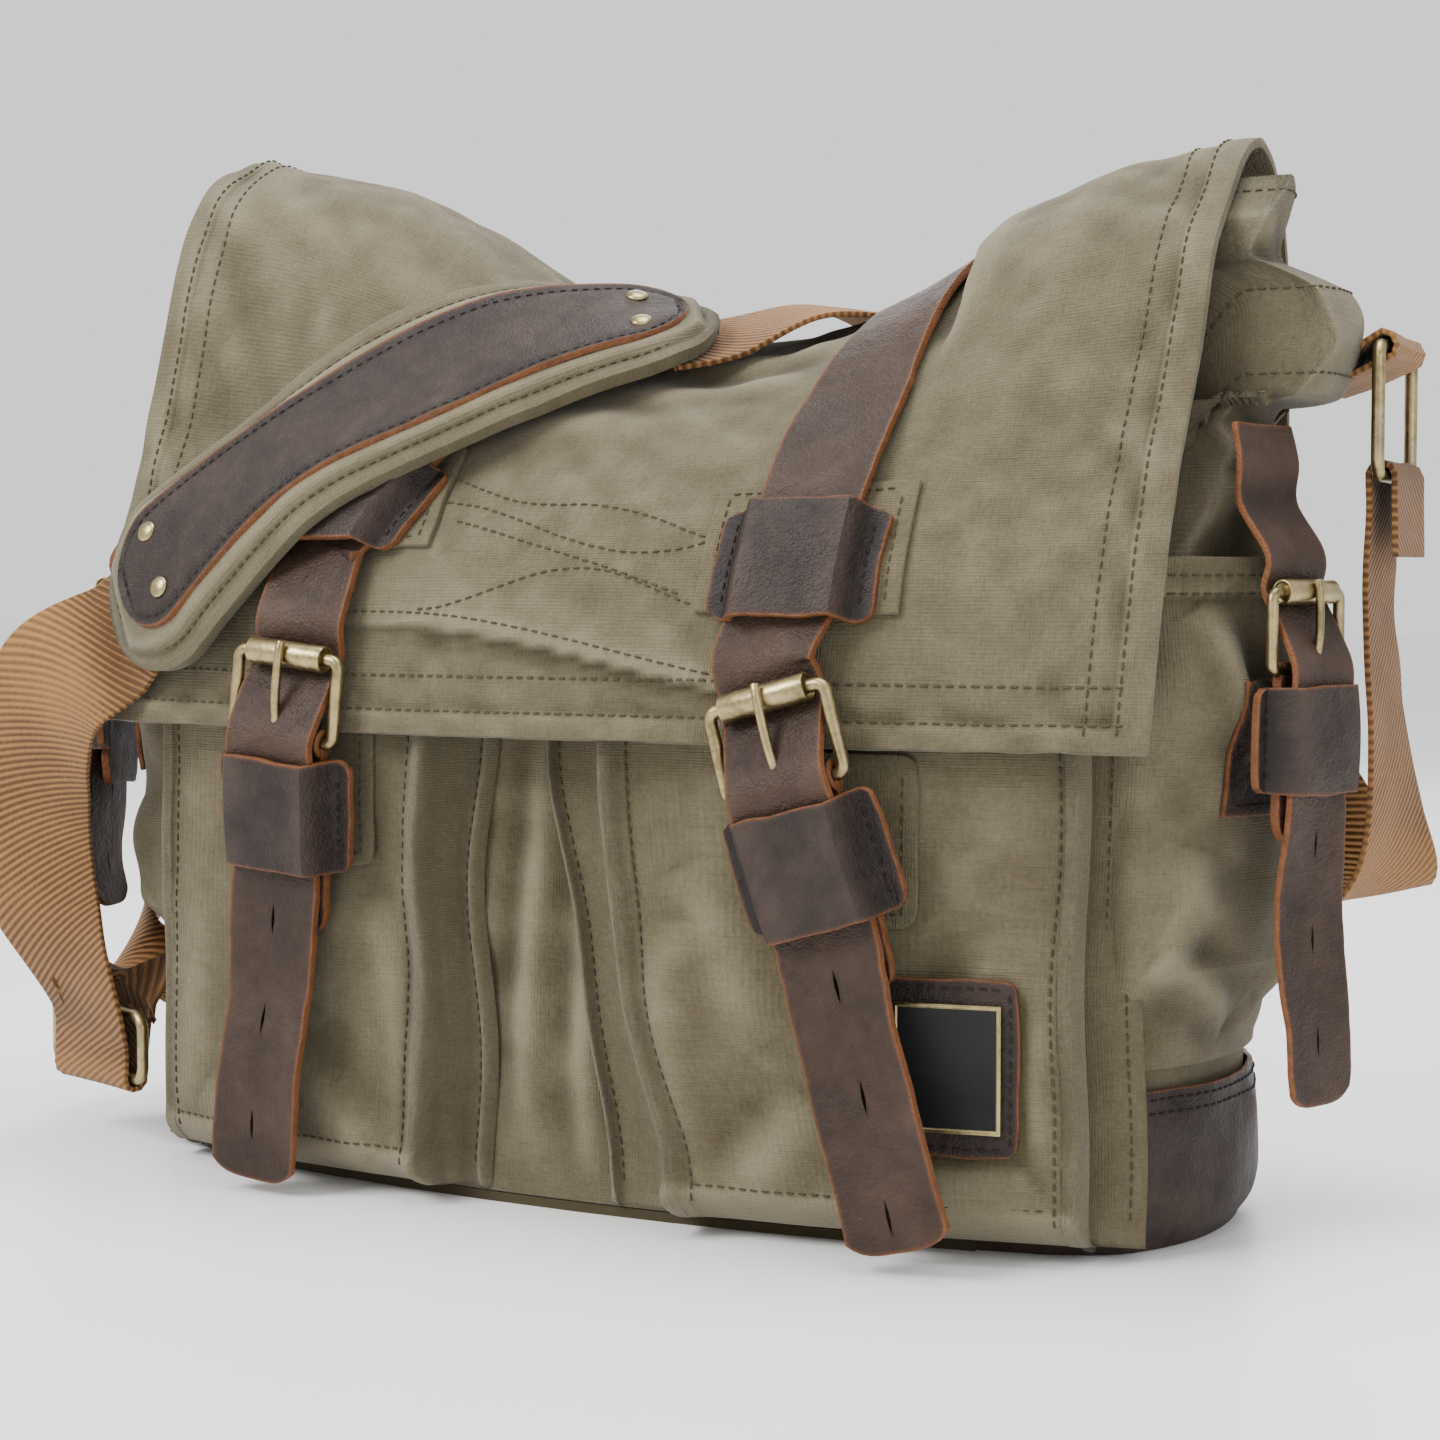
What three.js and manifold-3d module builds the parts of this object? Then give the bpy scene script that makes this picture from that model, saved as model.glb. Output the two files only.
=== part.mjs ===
// A canvas messenger bag: a soft body with front and side pockets, a stand-up flap held by two
// buckled leather straps, leather boots at the bottom corners, and a webbing shoulder strap with
// a pad. Millimetres, +Z up, front towards -Y. The origin lies on the underside of the floor.
import * as THREE from 'three';
import Module from 'manifold-3d';
import { mergeVertices } from 'three/addons/utils/BufferGeometryUtils.js';

const wasm = await Module();
wasm.setup();

// ---- driving dimensions ----
const BODY_HALF_WIDTH = 176;   // body at its floor
const FRONT_Y = -72;           // outer face of the front panel, at its middle
const BACK_Y = 48;             // outer face of the back panel
const FRONT_BOW = 22;          // how far the ends of the front stand behind its middle
const FRONT_HEIGHT = 204;
const BACK_HEIGHT = 231;
const SIDE_HEIGHT = 286;       // top of the side gusset at its middle
const SIDE_FLARE = 20;         // how far the top of the side leans out
const CORNER_X = BODY_HALF_WIDTH - 26;   // where the front panel ends and the gusset starts

const FLAP_HALF_WIDTH = BODY_HALF_WIDTH + 10;
const HEM_Z = 148;             // lower edge of the flap
const RIDGE_Z = 272;           // lowest point of the ridge
const RIDGE_DIP_X = 30;        // where that point lies
const EAR_Z_LEFT = 345;
const EAR_Z_RIGHT = 325;
const SEAM_Y = BACK_Y + 4;     // seam of the flap on the back panel
const SEAM_Z = BACK_HEIGHT + 3;

const CANVAS = 2.5;            // cloth with its lining
const FLAP_THICKNESS = 3;
const LEATHER = 2.4;
const PATCH = 1.8;             // canvas patches under the leather loops
const WEBBING = 1.8;
const FLOOR = 3;
const GAP = 0.4;               // between pieces that touch
const SEAM_GAP = 2.4;          // between panels whose edges meet at an angle

const POCKET_TOP = 158;
const POCKET_DEPTH = 16;       // front pocket, from the front panel to its face
const POCKET_INNER_LEFT = -38; // inner edge of the left front pocket
const POCKET_INNER_RIGHT = 28;
const POCKET_OUTER = BODY_HALF_WIDTH - 14;
const SIDE_POCKET_LOW = 54;
const SIDE_POCKET_TOP = 202;
const SIDE_POCKET_PUFF = 17;

const BOOT_HEIGHT = 48;
const BOOT_INNER_X = BODY_HALF_WIDTH - 48;   // where each boot's floor meets the canvas floor

const STRAP_WIDTH = 32;
const WIRE_RADIUS = 2;         // brass wire of frames and rings
const ROLLER_RADIUS = 4.2;
const ROLLER_BORE = 2.4;
const BUCKLE_RISE = 26;        // from the pivot bar to the roller bar
const BUCKLE_SIDE = STRAP_WIDTH / 2 + 1 + WIRE_RADIUS;  // centre line of the side arms
const PRONG_SLOT = 5.2;
const TAIL_SLOTS = [-58, -90, -124];   // along the strap, below the pivot bar
const SIDE_SCALE = 0.85;       // side buckles and straps against the front ones

const WEB_WIDTH = 48;
const RING_HEIGHT = 38;
const PAD_HALF_WIDTH = 29;
const PAD_THICKNESS = 8;
const PAD_START = [-BODY_HALF_WIDTH + 33, 0.95];   // on the flap: x, and steps up from the hem
const PAD_END = [-10, 3.0];
const PAD_LEATHER_MARGIN = 12;
const RIVET_RADIUS = 3;

// ---- finishes ----
const finish = (color, roughness, metalness = 0) =>
  new THREE.MeshStandardMaterial({ color, roughness, metalness });
const CANVAS_FINISH = finish(0x786c54, 0.95);
const LEATHER_FINISH = finish(0x4f3a30, 0.7);
const DARK_LEATHER_FINISH = finish(0x40332f, 0.65);
const WEBBING_FINISH = finish(0x875d38, 0.9);
const BRASS_FINISH = finish(0x9a8a5c, 0.35, 1);
const PLATE_FINISH = finish(0x25221f, 0.4, 0.8);

const bag = new THREE.Group();

function addPiece(name, geometry, material) {
  const mesh = new THREE.Mesh(geometry, material);
  mesh.name = name;
  bag.add(mesh);
  return mesh;
}

// ---- geometry helpers ----
const vec = (x, y, z) => new THREE.Vector3(x, y, z);
const mix = (a, b, k) => a + (b - a) * k;
const smooth = (k) => k * k * (3 - 2 * k);

// A spline through a list of equally long rows of numbers, with u counted in rows.
function spline(rows, u) {
  const last = rows.length - 1;
  const i = Math.min(Math.max(Math.floor(u), 0), last - 1);
  const f = Math.min(Math.max(u - i, 0), 1);
  const row = (k) => rows[Math.min(Math.max(k, 0), last)];
  return rows[0].map((_, axis) => {
    const [a, b, c, d] = [row(i - 1), row(i), row(i + 1), row(i + 2)].map((r) => r[axis]);
    const into = (c - a) / 2;
    const out = (d - b) / 2;
    return (2 * b - 2 * c + into + out) * f ** 3 + (-3 * b + 3 * c - 2 * into - out) * f ** 2
      + into * f + b;
  });
}

function meshFrom(points, faces) {
  const geometry = new THREE.BufferGeometry();
  geometry.setAttribute('position',
    new THREE.Float32BufferAttribute(points.flatMap((p) => [p.x, p.y, p.z]), 3));
  let volume = 0;
  for (const [a, b, c] of faces) {
    volume += points[a].dot(vec().crossVectors(points[b], points[c]));
  }
  geometry.setIndex(faces.flatMap((f) => (volume < 0 ? [f[0], f[2], f[1]] : f)));
  geometry.computeVertexNormals();
  return geometry;
}

// A closed sheet. point(s, t) is its outer face for s and t from 0 to 1; s runs to the right
// and t up, seen from outside, and the inner face lies behind it by the thickness.
function sheet(point, across, along, thickness) {
  const step = 1e-3;
  const outer = [];
  const inner = [];
  for (let j = 0; j <= along; j += 1) {
    for (let i = 0; i <= across; i += 1) {
      const s = i / across;
      const t = j / along;
      const p = point(s, t);
      const ds = point(Math.min(s + step, 1), t).sub(point(Math.max(s - step, 0), t));
      const dt = point(s, Math.min(t + step, 1)).sub(point(s, Math.max(t - step, 0)));
      outer.push(p);
      inner.push(p.clone().addScaledVector(ds.cross(dt).normalize(), -thickness));
    }
  }
  const at = (i, j) => j * (across + 1) + i;
  const shift = outer.length;
  const faces = [];
  for (let j = 0; j < along; j += 1) {
    for (let i = 0; i < across; i += 1) {
      const [a, b, c, d] = [at(i, j), at(i + 1, j), at(i + 1, j + 1), at(i, j + 1)];
      faces.push([a, b, c], [a, c, d]);
      faces.push([a + shift, c + shift, b + shift], [a + shift, d + shift, c + shift]);
    }
  }
  const rim = [];
  for (let i = 0; i < across; i += 1) rim.push(at(i, 0));
  for (let j = 0; j < along; j += 1) rim.push(at(across, j));
  for (let i = across; i > 0; i -= 1) rim.push(at(i, along));
  for (let j = along; j > 0; j -= 1) rim.push(at(0, j));
  rim.forEach((a, k) => {
    const b = rim[(k + 1) % rim.length];
    faces.push([a, b + shift, b], [a, a + shift, b + shift]);
  });
  return meshFrom([...outer, ...inner], faces);
}

// A strip of rectangular section. station(u) gives its centre, its direction across and its
// outward normal for u from 0 to 1.
function strip(station, steps, width, thickness) {
  const points = [];
  const faces = [];
  for (let k = 0; k <= steps; k += 1) {
    const { centre, across, normal } = station(k / steps);
    for (const [s, n] of [[-1, -1], [1, -1], [1, 1], [-1, 1]]) {
      points.push(centre.clone().addScaledVector(across, s * width / 2)
        .addScaledVector(normal, n * thickness / 2));
    }
    if (k === 0) continue;
    for (let c = 0; c < 4; c += 1) {
      const [a, b] = [4 * k + c, 4 * k + ((c + 1) % 4)];
      faces.push([a - 4, b - 4, b], [a - 4, b, a]);
    }
  }
  const end = 4 * steps;
  faces.push([0, 2, 1], [0, 3, 2], [end, end + 1, end + 2], [end, end + 2, end + 3]);
  return meshFrom(points, faces);
}

// A round bar along a closed flat outline in the XY plane.
function wireLoop(shape, divisions, radius, sides) {
  const line = shape.getSpacedPoints(divisions).slice(0, divisions);
  const points = [];
  const faces = [];
  line.forEach((p, k) => {
    const next = line[(k + 1) % divisions];
    const before = line[(k + divisions - 1) % divisions];
    const out = vec(next.y - before.y, before.x - next.x, 0).normalize();
    for (let m = 0; m < sides; m += 1) {
      const angle = (2 * Math.PI * m) / sides;
      points.push(vec(p.x, p.y, 0).addScaledVector(out, radius * Math.cos(angle))
        .add(vec(0, 0, radius * Math.sin(angle))));
      const [a, b] = [k * sides + m, k * sides + ((m + 1) % sides)];
      const [c, d] = [((k + 1) % divisions) * sides + m,
        ((k + 1) % divisions) * sides + ((m + 1) % sides)];
      faces.push([a, b, d], [a, d, c]);
    }
  });
  return meshFrom(points, faces);
}

function roundedRect(halfX, low, high, corner) {
  const shape = new THREE.Shape();
  shape.moveTo(-halfX + corner, low);
  shape.lineTo(halfX - corner, low);
  shape.absarc(halfX - corner, low + corner, corner, -Math.PI / 2, 0);
  shape.lineTo(halfX, high - corner);
  shape.absarc(halfX - corner, high - corner, corner, 0, Math.PI / 2);
  shape.lineTo(-halfX + corner, high);
  shape.absarc(-halfX + corner, high - corner, corner, Math.PI / 2, Math.PI);
  shape.lineTo(-halfX, low + corner);
  shape.absarc(-halfX + corner, low + corner, corner, Math.PI, 1.5 * Math.PI);
  return shape;
}

function toSolid(geometry) {
  const bare = geometry.clone();
  bare.deleteAttribute('normal');
  bare.deleteAttribute('uv');
  const merged = mergeVertices(bare, 1e-4);
  return new wasm.Manifold(new wasm.Mesh({
    numProp: 3,
    vertProperties: new Float32Array(merged.attributes.position.array),
    triVerts: new Uint32Array(merged.index.array),
  }));
}

function fromSolid(solid) {
  const { vertProperties, triVerts } = solid.getMesh();
  const geometry = new THREE.BufferGeometry();
  geometry.setAttribute('position', new THREE.Float32BufferAttribute(vertProperties, 3));
  geometry.setIndex(new THREE.Uint32BufferAttribute(triVerts, 1));
  return geometry;
}

const cut = (geometry, ...tools) => fromSolid(
  tools.reduce((solid, tool) => solid.subtract(toSolid(tool)), toSolid(geometry)));
const join = (a, b) => fromSolid(toSolid(a).add(toSolid(b)));

function prism(outline, low, high) {
  const shape = new THREE.Shape(outline.map(([x, y]) => new THREE.Vector2(x, y)));
  const geometry = new THREE.ExtrudeGeometry(shape, { depth: high - low, bevelEnabled: false });
  return geometry.translate(0, 0, low);
}

function box(x0, x1, y0, y1, z0, z1) {
  return new THREE.BoxGeometry(x1 - x0, y1 - y0, z1 - z0)
    .translate((x0 + x1) / 2, (y0 + y1) / 2, (z0 + z1) / 2);
}

const mirrored = (geometry) => {
  const copy = mergeVertices(geometry);
  copy.scale(-1, 1, 1);
  const index = Array.from(copy.index.array);
  for (let k = 0; k < index.length; k += 3) {
    [index[k + 1], index[k + 2]] = [index[k + 2], index[k + 1]];
  }
  copy.setIndex(index);
  return copy;
};

// ---- body ----
const frontFace = (x) => FRONT_Y + FRONT_BOW * (x / BODY_HALF_WIDTH) ** 2;

function frontLine(from, to, offset, steps = 8) {
  return Array.from({ length: steps + 1 }, (_, k) => {
    const x = mix(from, to, k / steps);
    return [x, frontFace(x) - offset];
  });
}

addPiece('bottom_panel', prism(
  [...frontLine(-BOOT_INNER_X, BOOT_INNER_X, 0), [BOOT_INNER_X, BACK_Y], [-BOOT_INNER_X, BACK_Y]],
  0, FLOOR), CANVAS_FINISH);

addPiece('front_panel', sheet((s, t) => {
  const x = mix(-CORNER_X, CORNER_X, s) * (1 - SEAM_GAP / CORNER_X);
  return vec(x, frontFace(x), mix(FLOOR + GAP, FRONT_HEIGHT, t));
}, 14, 4, CANVAS), CANVAS_FINISH);

addPiece('back_panel', box(-CORNER_X + SEAM_GAP, CORNER_X - SEAM_GAP, BACK_Y - CANVAS, BACK_Y,
  FLOOR + GAP, BACK_HEIGHT), CANVAS_FINISH);

// The gusset's outline in plan, from the end of the front panel round to the back panel.
const SIDE_PLAN = [
  [CORNER_X, frontFace(CORNER_X)],
  [BODY_HALF_WIDTH - 8, frontFace(CORNER_X) + 10],
  [BODY_HALF_WIDTH + 4, frontFace(CORNER_X) + 32],
  [BODY_HALF_WIDTH + 8, (FRONT_Y + BACK_Y) / 2 + 12],
  [BODY_HALF_WIDTH + 5, BACK_Y - 22],
  [BODY_HALF_WIDTH - 5, BACK_Y - 5],
  [CORNER_X, BACK_Y],
];

function sidePoint(s, z, offset = 0) {
  const u = s * (SIDE_PLAN.length - 1);
  const [x, y] = spline(SIDE_PLAN, u);
  const [x1, y1] = spline(SIDE_PLAN, u + 0.01);
  const [x0, y0] = spline(SIDE_PLAN, u - 0.01);
  const out = vec(y1 - y0, x0 - x1, 0).normalize();
  const height = Math.max(z - BOOT_HEIGHT, 0) / (SIDE_HEIGHT - BOOT_HEIGHT);
  const flare = SIDE_FLARE * Math.sin(Math.PI * s) * height ** 1.5;
  return vec(x + flare, y, z).addScaledVector(out, offset);
}

const sideTop = (s) => mix(FRONT_HEIGHT, BACK_HEIGHT, s)
  + (SIDE_HEIGHT - (FRONT_HEIGHT + BACK_HEIGHT) / 2) * Math.sin(Math.PI * s) ** 2;

const SIDE_STEPS = 14;
const gusset = sheet((s, t) => sidePoint(s, mix(FLOOR + GAP, sideTop(s), t)), SIDE_STEPS, 6,
  CANVAS);
addPiece('side_gusset_right', gusset, CANVAS_FINISH);
addPiece('side_gusset_left', mirrored(gusset), CANVAS_FINISH);

// ---- leather boots ----
function bootOutline(offset) {
  const wall = Array.from({ length: SIDE_STEPS + 1 }, (_, k) => {
    const p = sidePoint(k / SIDE_STEPS, 0, offset);
    return [p.x, p.y];
  });
  return [...frontLine(BOOT_INNER_X + GAP, CORNER_X - 4, offset, 3), ...wall,
    [BOOT_INNER_X + GAP, BACK_Y + offset]];
}

const bootHollow = bootOutline(GAP).map(([x, y], k, all) => (
  k === 0 || k === all.length - 1 ? [x - 1, y] : [x, y]));
const boot = cut(prism(bootOutline(GAP + LEATHER), 0, BOOT_HEIGHT),
  prism(bootHollow, FLOOR, BOOT_HEIGHT + 1));
addPiece('base_boot_right', boot, DARK_LEATHER_FINISH);
addPiece('base_boot_left', mirrored(boot), DARK_LEATHER_FINISH);

// ---- front pockets: open at the top, closed behind by the front panel ----
const POCKET_BACK = LEATHER + 2 * GAP;

function frontPocket(inner, outer) {
  const side = Math.sign(outer - inner);
  const ring = (grow, offset) => [
    ...frontLine(inner - side * grow, outer + side * grow, offset, 8),
    ...frontLine(outer + side * grow, inner - side * grow, POCKET_BACK - (grow ? 0 : 1), 8),
  ];
  return cut(prism(ring(CANVAS, POCKET_DEPTH), FLOOR + 3, POCKET_TOP),
    prism(ring(0, POCKET_DEPTH - CANVAS), FLOOR + 3 + CANVAS, POCKET_TOP + 1));
}

addPiece('front_pocket_left', frontPocket(POCKET_INNER_LEFT, -POCKET_OUTER), CANVAS_FINISH);
addPiece('front_pocket_right', frontPocket(POCKET_INNER_RIGHT, POCKET_OUTER), CANVAS_FINISH);

// ---- side pockets: a puffed wall on each gusset, open at the top ----
const SIDE_POCKET_FROM = 0.1;
const SIDE_POCKET_TO = 0.72;

function sidePocketPoint(s, t, offset = 0) {
  const puff = SIDE_POCKET_PUFF * (1 - (2 * s - 1) ** 4) * Math.sin(Math.PI * (0.12 + 0.7 * t));
  return sidePoint(mix(SIDE_POCKET_FROM, SIDE_POCKET_TO, s),
    mix(SIDE_POCKET_LOW, SIDE_POCKET_TOP, t), GAP + CANVAS + puff * Math.min(t * 5, 1) + offset);
}

const sidePocket = sheet(sidePocketPoint, 12, 8, CANVAS);
addPiece('side_pocket_right', sidePocket, CANVAS_FINISH);
addPiece('side_pocket_left', mirrored(sidePocket), CANVAS_FINISH);

// ---- flap ----
// Profiles from the hem up over the ridge to the back seam, as [y, z]: one where the ridge
// dips and one at the flap's ends, where it stands up as an ear.
const HEM_Y = FRONT_Y - POCKET_DEPTH - 9;
const middleProfile = [
  [HEM_Y, HEM_Z], [HEM_Y + 12, HEM_Z + 52], [HEM_Y + 37, HEM_Z + 88], [-20, RIDGE_Z - 12],
  [26, RIDGE_Z], [46, RIDGE_Z - 12], [SEAM_Y, SEAM_Z],
];
const endProfile = (ear) => [
  [HEM_Y + 19, HEM_Z], [HEM_Y + 34, HEM_Z + 53], [HEM_Y + 52, HEM_Z + 98], [-18, ear - 24],
  [20, ear], [45, ear - 28], [SEAM_Y, SEAM_Z],
];
const FLAP_STEPS = middleProfile.length - 1;

// A point of the flap's outer face: x across, and u steps up from the hem.
function flapPoint(x, u) {
  const right = x > RIDGE_DIP_X;
  const reach = right ? FLAP_HALF_WIDTH - RIDGE_DIP_X : FLAP_HALF_WIDTH + RIDGE_DIP_X;
  const rise = smooth(Math.min(Math.abs(x - RIDGE_DIP_X) / reach, 1));
  const bow = Math.min(Math.abs(x) / FLAP_HALF_WIDTH, 1) ** 2;
  const weights = [bow, bow, (bow + rise) / 2, rise, rise, rise, rise];
  const end = endProfile(right ? EAR_Z_RIGHT : EAR_Z_LEFT);
  const rows = middleProfile.map((row, k) => row.map((v, axis) => mix(v, end[k][axis], weights[k])));
  const [y, z] = spline(rows, u);
  return vec(x, y, z);
}

function flapStation(x, u, offset) {
  const across = flapPoint(x + 1, u).sub(flapPoint(x - 1, u)).normalize();
  const up = flapPoint(x, Math.min(u + 0.02, FLAP_STEPS))
    .sub(flapPoint(x, Math.max(u - 0.02, 0))).normalize();
  const normal = across.clone().cross(up).normalize();
  return { centre: flapPoint(x, u).addScaledVector(normal, offset), across, normal };
}

addPiece('flap_panel', sheet((s, t) => flapPoint(mix(-FLAP_HALF_WIDTH, FLAP_HALF_WIDTH, s),
  t * FLAP_STEPS), 20, 15, FLAP_THICKNESS), CANVAS_FINISH);

// ---- front straps and buckles ----
// Each closure has a local frame: across, up along the strap, and out from the bag. Its origin
// is the middle of the buckle's pivot bar.
function closureFrame(origin, lean, turn) {
  const across = vec(Math.cos(lean), 0, Math.sin(lean)).applyAxisAngle(vec(0, 0, 1), turn);
  const out = vec(0, -1, 0).applyAxisAngle(vec(0, 0, 1), turn);
  const up = out.clone().cross(across);
  const matrix = new THREE.Matrix4().makeBasis(across, up, out).setPosition(origin);
  return { origin, across, up, out, matrix,
    at: (a, v, w) => origin.clone().addScaledVector(across, a).addScaledVector(up, v)
      .addScaledVector(out, w) };
}

// A station along a list of rows [centre, across], from one spline.
function ribbonStation(rows) {
  const last = rows.length - 1;
  const centreAt = (u) => vec(...spline(rows.map((r) => r.centre.toArray()), u));
  return (k) => {
    const u = k * last;
    const across = vec(...spline(rows.map((r) => r.across.toArray()), u)).normalize();
    const along = centreAt(Math.min(u + 0.01, last)).sub(centreAt(Math.max(u - 0.01, 0)));
    const normal = across.clone().cross(along).normalize();
    across.crossVectors(along, normal).normalize();
    return { centre: centreAt(u), across, normal };
  };
}

const BEHIND_ROLLER = -(ROLLER_RADIUS + LEATHER / 2 + GAP);
const TAB_INNER = WIRE_RADIUS + GAP;
const TAB_HALF = TAB_INNER + LEATHER / 2;
const OVER_PIVOT = TAB_HALF + LEATHER + GAP;
const TAB_BACK = -(LEATHER + GAP) / 2;   // centre lines of the tab's two layers below the bar
const TAB_FRONT = -TAB_BACK;
const OVER_TAB = TAB_FRONT + LEATHER + GAP;
const KEEPER_TOP = -6;
const KEEPER_HEIGHT = 34;
const KEEPER_HALF = STRAP_WIDTH / 2 + 8;
const TAB_LENGTH = 62;

// The same frame tipped about its pivot bar, so that what hangs from the bar leans inwards.
function tipped(frame, angle) {
  const out = frame.out.clone().applyAxisAngle(frame.across, angle);
  const up = out.clone().cross(frame.across);
  const matrix = new THREE.Matrix4().makeBasis(frame.across, up, out)
    .setPosition(frame.origin);
  return { ...frame, up, out, matrix,
    at: (a, v, w) => frame.origin.clone().addScaledVector(frame.across, a)
      .addScaledVector(up, v).addScaledVector(out, w) };
}

// The lower strap: behind the roller, over the pivot bar and the tab, then the free tail.
function tailRows(frame, low, drop, size = 1) {
  const upper = [[BUCKLE_RISE + 12, BEHIND_ROLLER + 1], [BUCKLE_RISE, BEHIND_ROLLER],
    [BUCKLE_RISE * 0.45, 1.6]].map(([v, w]) => frame.at(0, v * size, w * size));
  const middle = [[1, OVER_PIVOT], [-10, OVER_TAB + 1.7], [-24, OVER_TAB + 0.2], [-42, OVER_TAB]]
    .map(([v, w]) => low.at(0, v * size, w * size));
  const rest = middle[3].clone().sub(frame.origin).dot(frame.out) / size;
  const tail = [[-70, rest - 0.3], [-(70 + drop) / 2, rest + 1.5], [-drop, rest]]
    .map(([v, w]) => frame.at(0, v * size, w * size));
  return [...upper, ...middle, ...tail].map((centre) => ({ centre, across: frame.across }));
}

function placed(geometry, frame, size = 1) {
  return geometry.clone().scale(size, size, size).applyMatrix4(frame.matrix);
}

function slotTool(frame, v0, v1, width, size = 1) {
  return placed(box(-width / 2, width / 2, v0, v1, -12, 14), frame, size);
}

const WIRE_STEPS = 28;
const WIRE_SIDES = 6;
const buckleFrameShape = wireLoop(
  roundedRect(BUCKLE_SIDE, 0, BUCKLE_RISE, 3), WIRE_STEPS, WIRE_RADIUS, WIRE_SIDES);

function rollerShape() {
  const half = BUCKLE_SIDE - 5;
  const profile = [[ROLLER_BORE, -half], [ROLLER_RADIUS, -half], [ROLLER_RADIUS, half],
    [ROLLER_BORE, half], [ROLLER_BORE, -half]].map(([r, h]) => new THREE.Vector2(r, h));
  return new THREE.LatheGeometry(profile, 12).rotateZ(Math.PI / 2).translate(0, BUCKLE_RISE, 0);
}

// The prong: an eye on the pivot bar and a bar that rests on the roller.
function prongShape() {
  const eye = [[TAB_INNER, -1.6], [WIRE_RADIUS + 2.4, -1.6], [WIRE_RADIUS + 2.4, 1.6],
    [TAB_INNER, 1.6], [TAB_INNER, -1.6]].map(([r, h]) => new THREE.Vector2(r, h));
  const ring = new THREE.LatheGeometry(eye, 12).rotateZ(Math.PI / 2);
  const line = new THREE.CatmullRomCurve3([vec(0, 2.2, 2.9), vec(0, BUCKLE_RISE * 0.5, 5.1),
    vec(0, BUCKLE_RISE, ROLLER_RADIUS + 1.4 + GAP), vec(0, BUCKLE_RISE + 3, ROLLER_RADIUS + 1.2)]);
  const section = new THREE.Shape().absarc(0, 0, 1.4, 0, 2 * Math.PI);
  const bar = new THREE.ExtrudeGeometry(section,
    { extrudePath: line, steps: 5, curveSegments: 4, bevelEnabled: false });
  return join(ring, bar);
}

// The tab: a strip folded round the pivot bar, notched for the prong's eye.
function tabPiece(low, length, size = 1) {
  const rows = [[-length, TAB_BACK], [-22, TAB_BACK], [-8, TAB_BACK - 0.6]];
  for (let k = 0; k <= 6; k += 1) {
    const angle = Math.PI * (1 - k / 6);
    rows.push([TAB_HALF * Math.sin(angle), TAB_HALF * Math.cos(angle)]);
  }
  rows.push([-8, TAB_FRONT + 0.6], [-22, TAB_FRONT], [-length, TAB_FRONT]);
  const stations = rows.map(([v, w]) => ({ centre: low.at(0, v * size, w * size),
    across: low.across }));
  const folded = strip(ribbonStation(stations), 36, STRAP_WIDTH * size, LEATHER * size * 0.96);
  return cut(folded, slotTool(low, -4.6, 8, 2 * 1.6 + 2.4, size));
}

// The keeper: a flattened loop round the strap and the tab.
function keeperPiece(low, size = 1) {
  const inner = -(TAB_HALF + LEATHER / 2 + GAP);
  const outer = OVER_PIVOT + LEATHER / 2 + GAP;
  const shape = roundedRect(KEEPER_HALF, inner - LEATHER, outer + LEATHER, 4);
  shape.holes.push(roundedRect(KEEPER_HALF - LEATHER, inner, outer, 2));
  const loop = new THREE.ExtrudeGeometry(shape,
    { depth: KEEPER_HEIGHT, curveSegments: 3, bevelEnabled: false });
  loop.rotateX(Math.PI / 2).translate(0, KEEPER_TOP, 0);
  return placed(loop, low, size);
}

const BUCKLE_CLEAR = Math.max(ROLLER_RADIUS + LEATHER + 4 * GAP,   // pivot bar in front of the hem
  TAB_HALF + LEATHER / 2 + GAP + LEATHER + STRAP_WIDTH / 60);
const TAB_TILT = THREE.MathUtils.degToRad(9);
const PATCH_LOW = 40;          // the pocket patches' reach below and above the pivot bars
const PATCH_HIGH = 8;
const closures = {
  left: { x: -89, z: 146, lean: THREE.MathUtils.degToRad(-6), drop: 142,
    keeperX: -77, keeperRise: 0.34, topX: -60, top: 2.2 },
  right: { x: 87, z: 137, lean: THREE.MathUtils.degToRad(15), drop: 134,
    keeperX: 82, keeperRise: 0.15, topX: 90, top: 4.75 },
};

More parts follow.
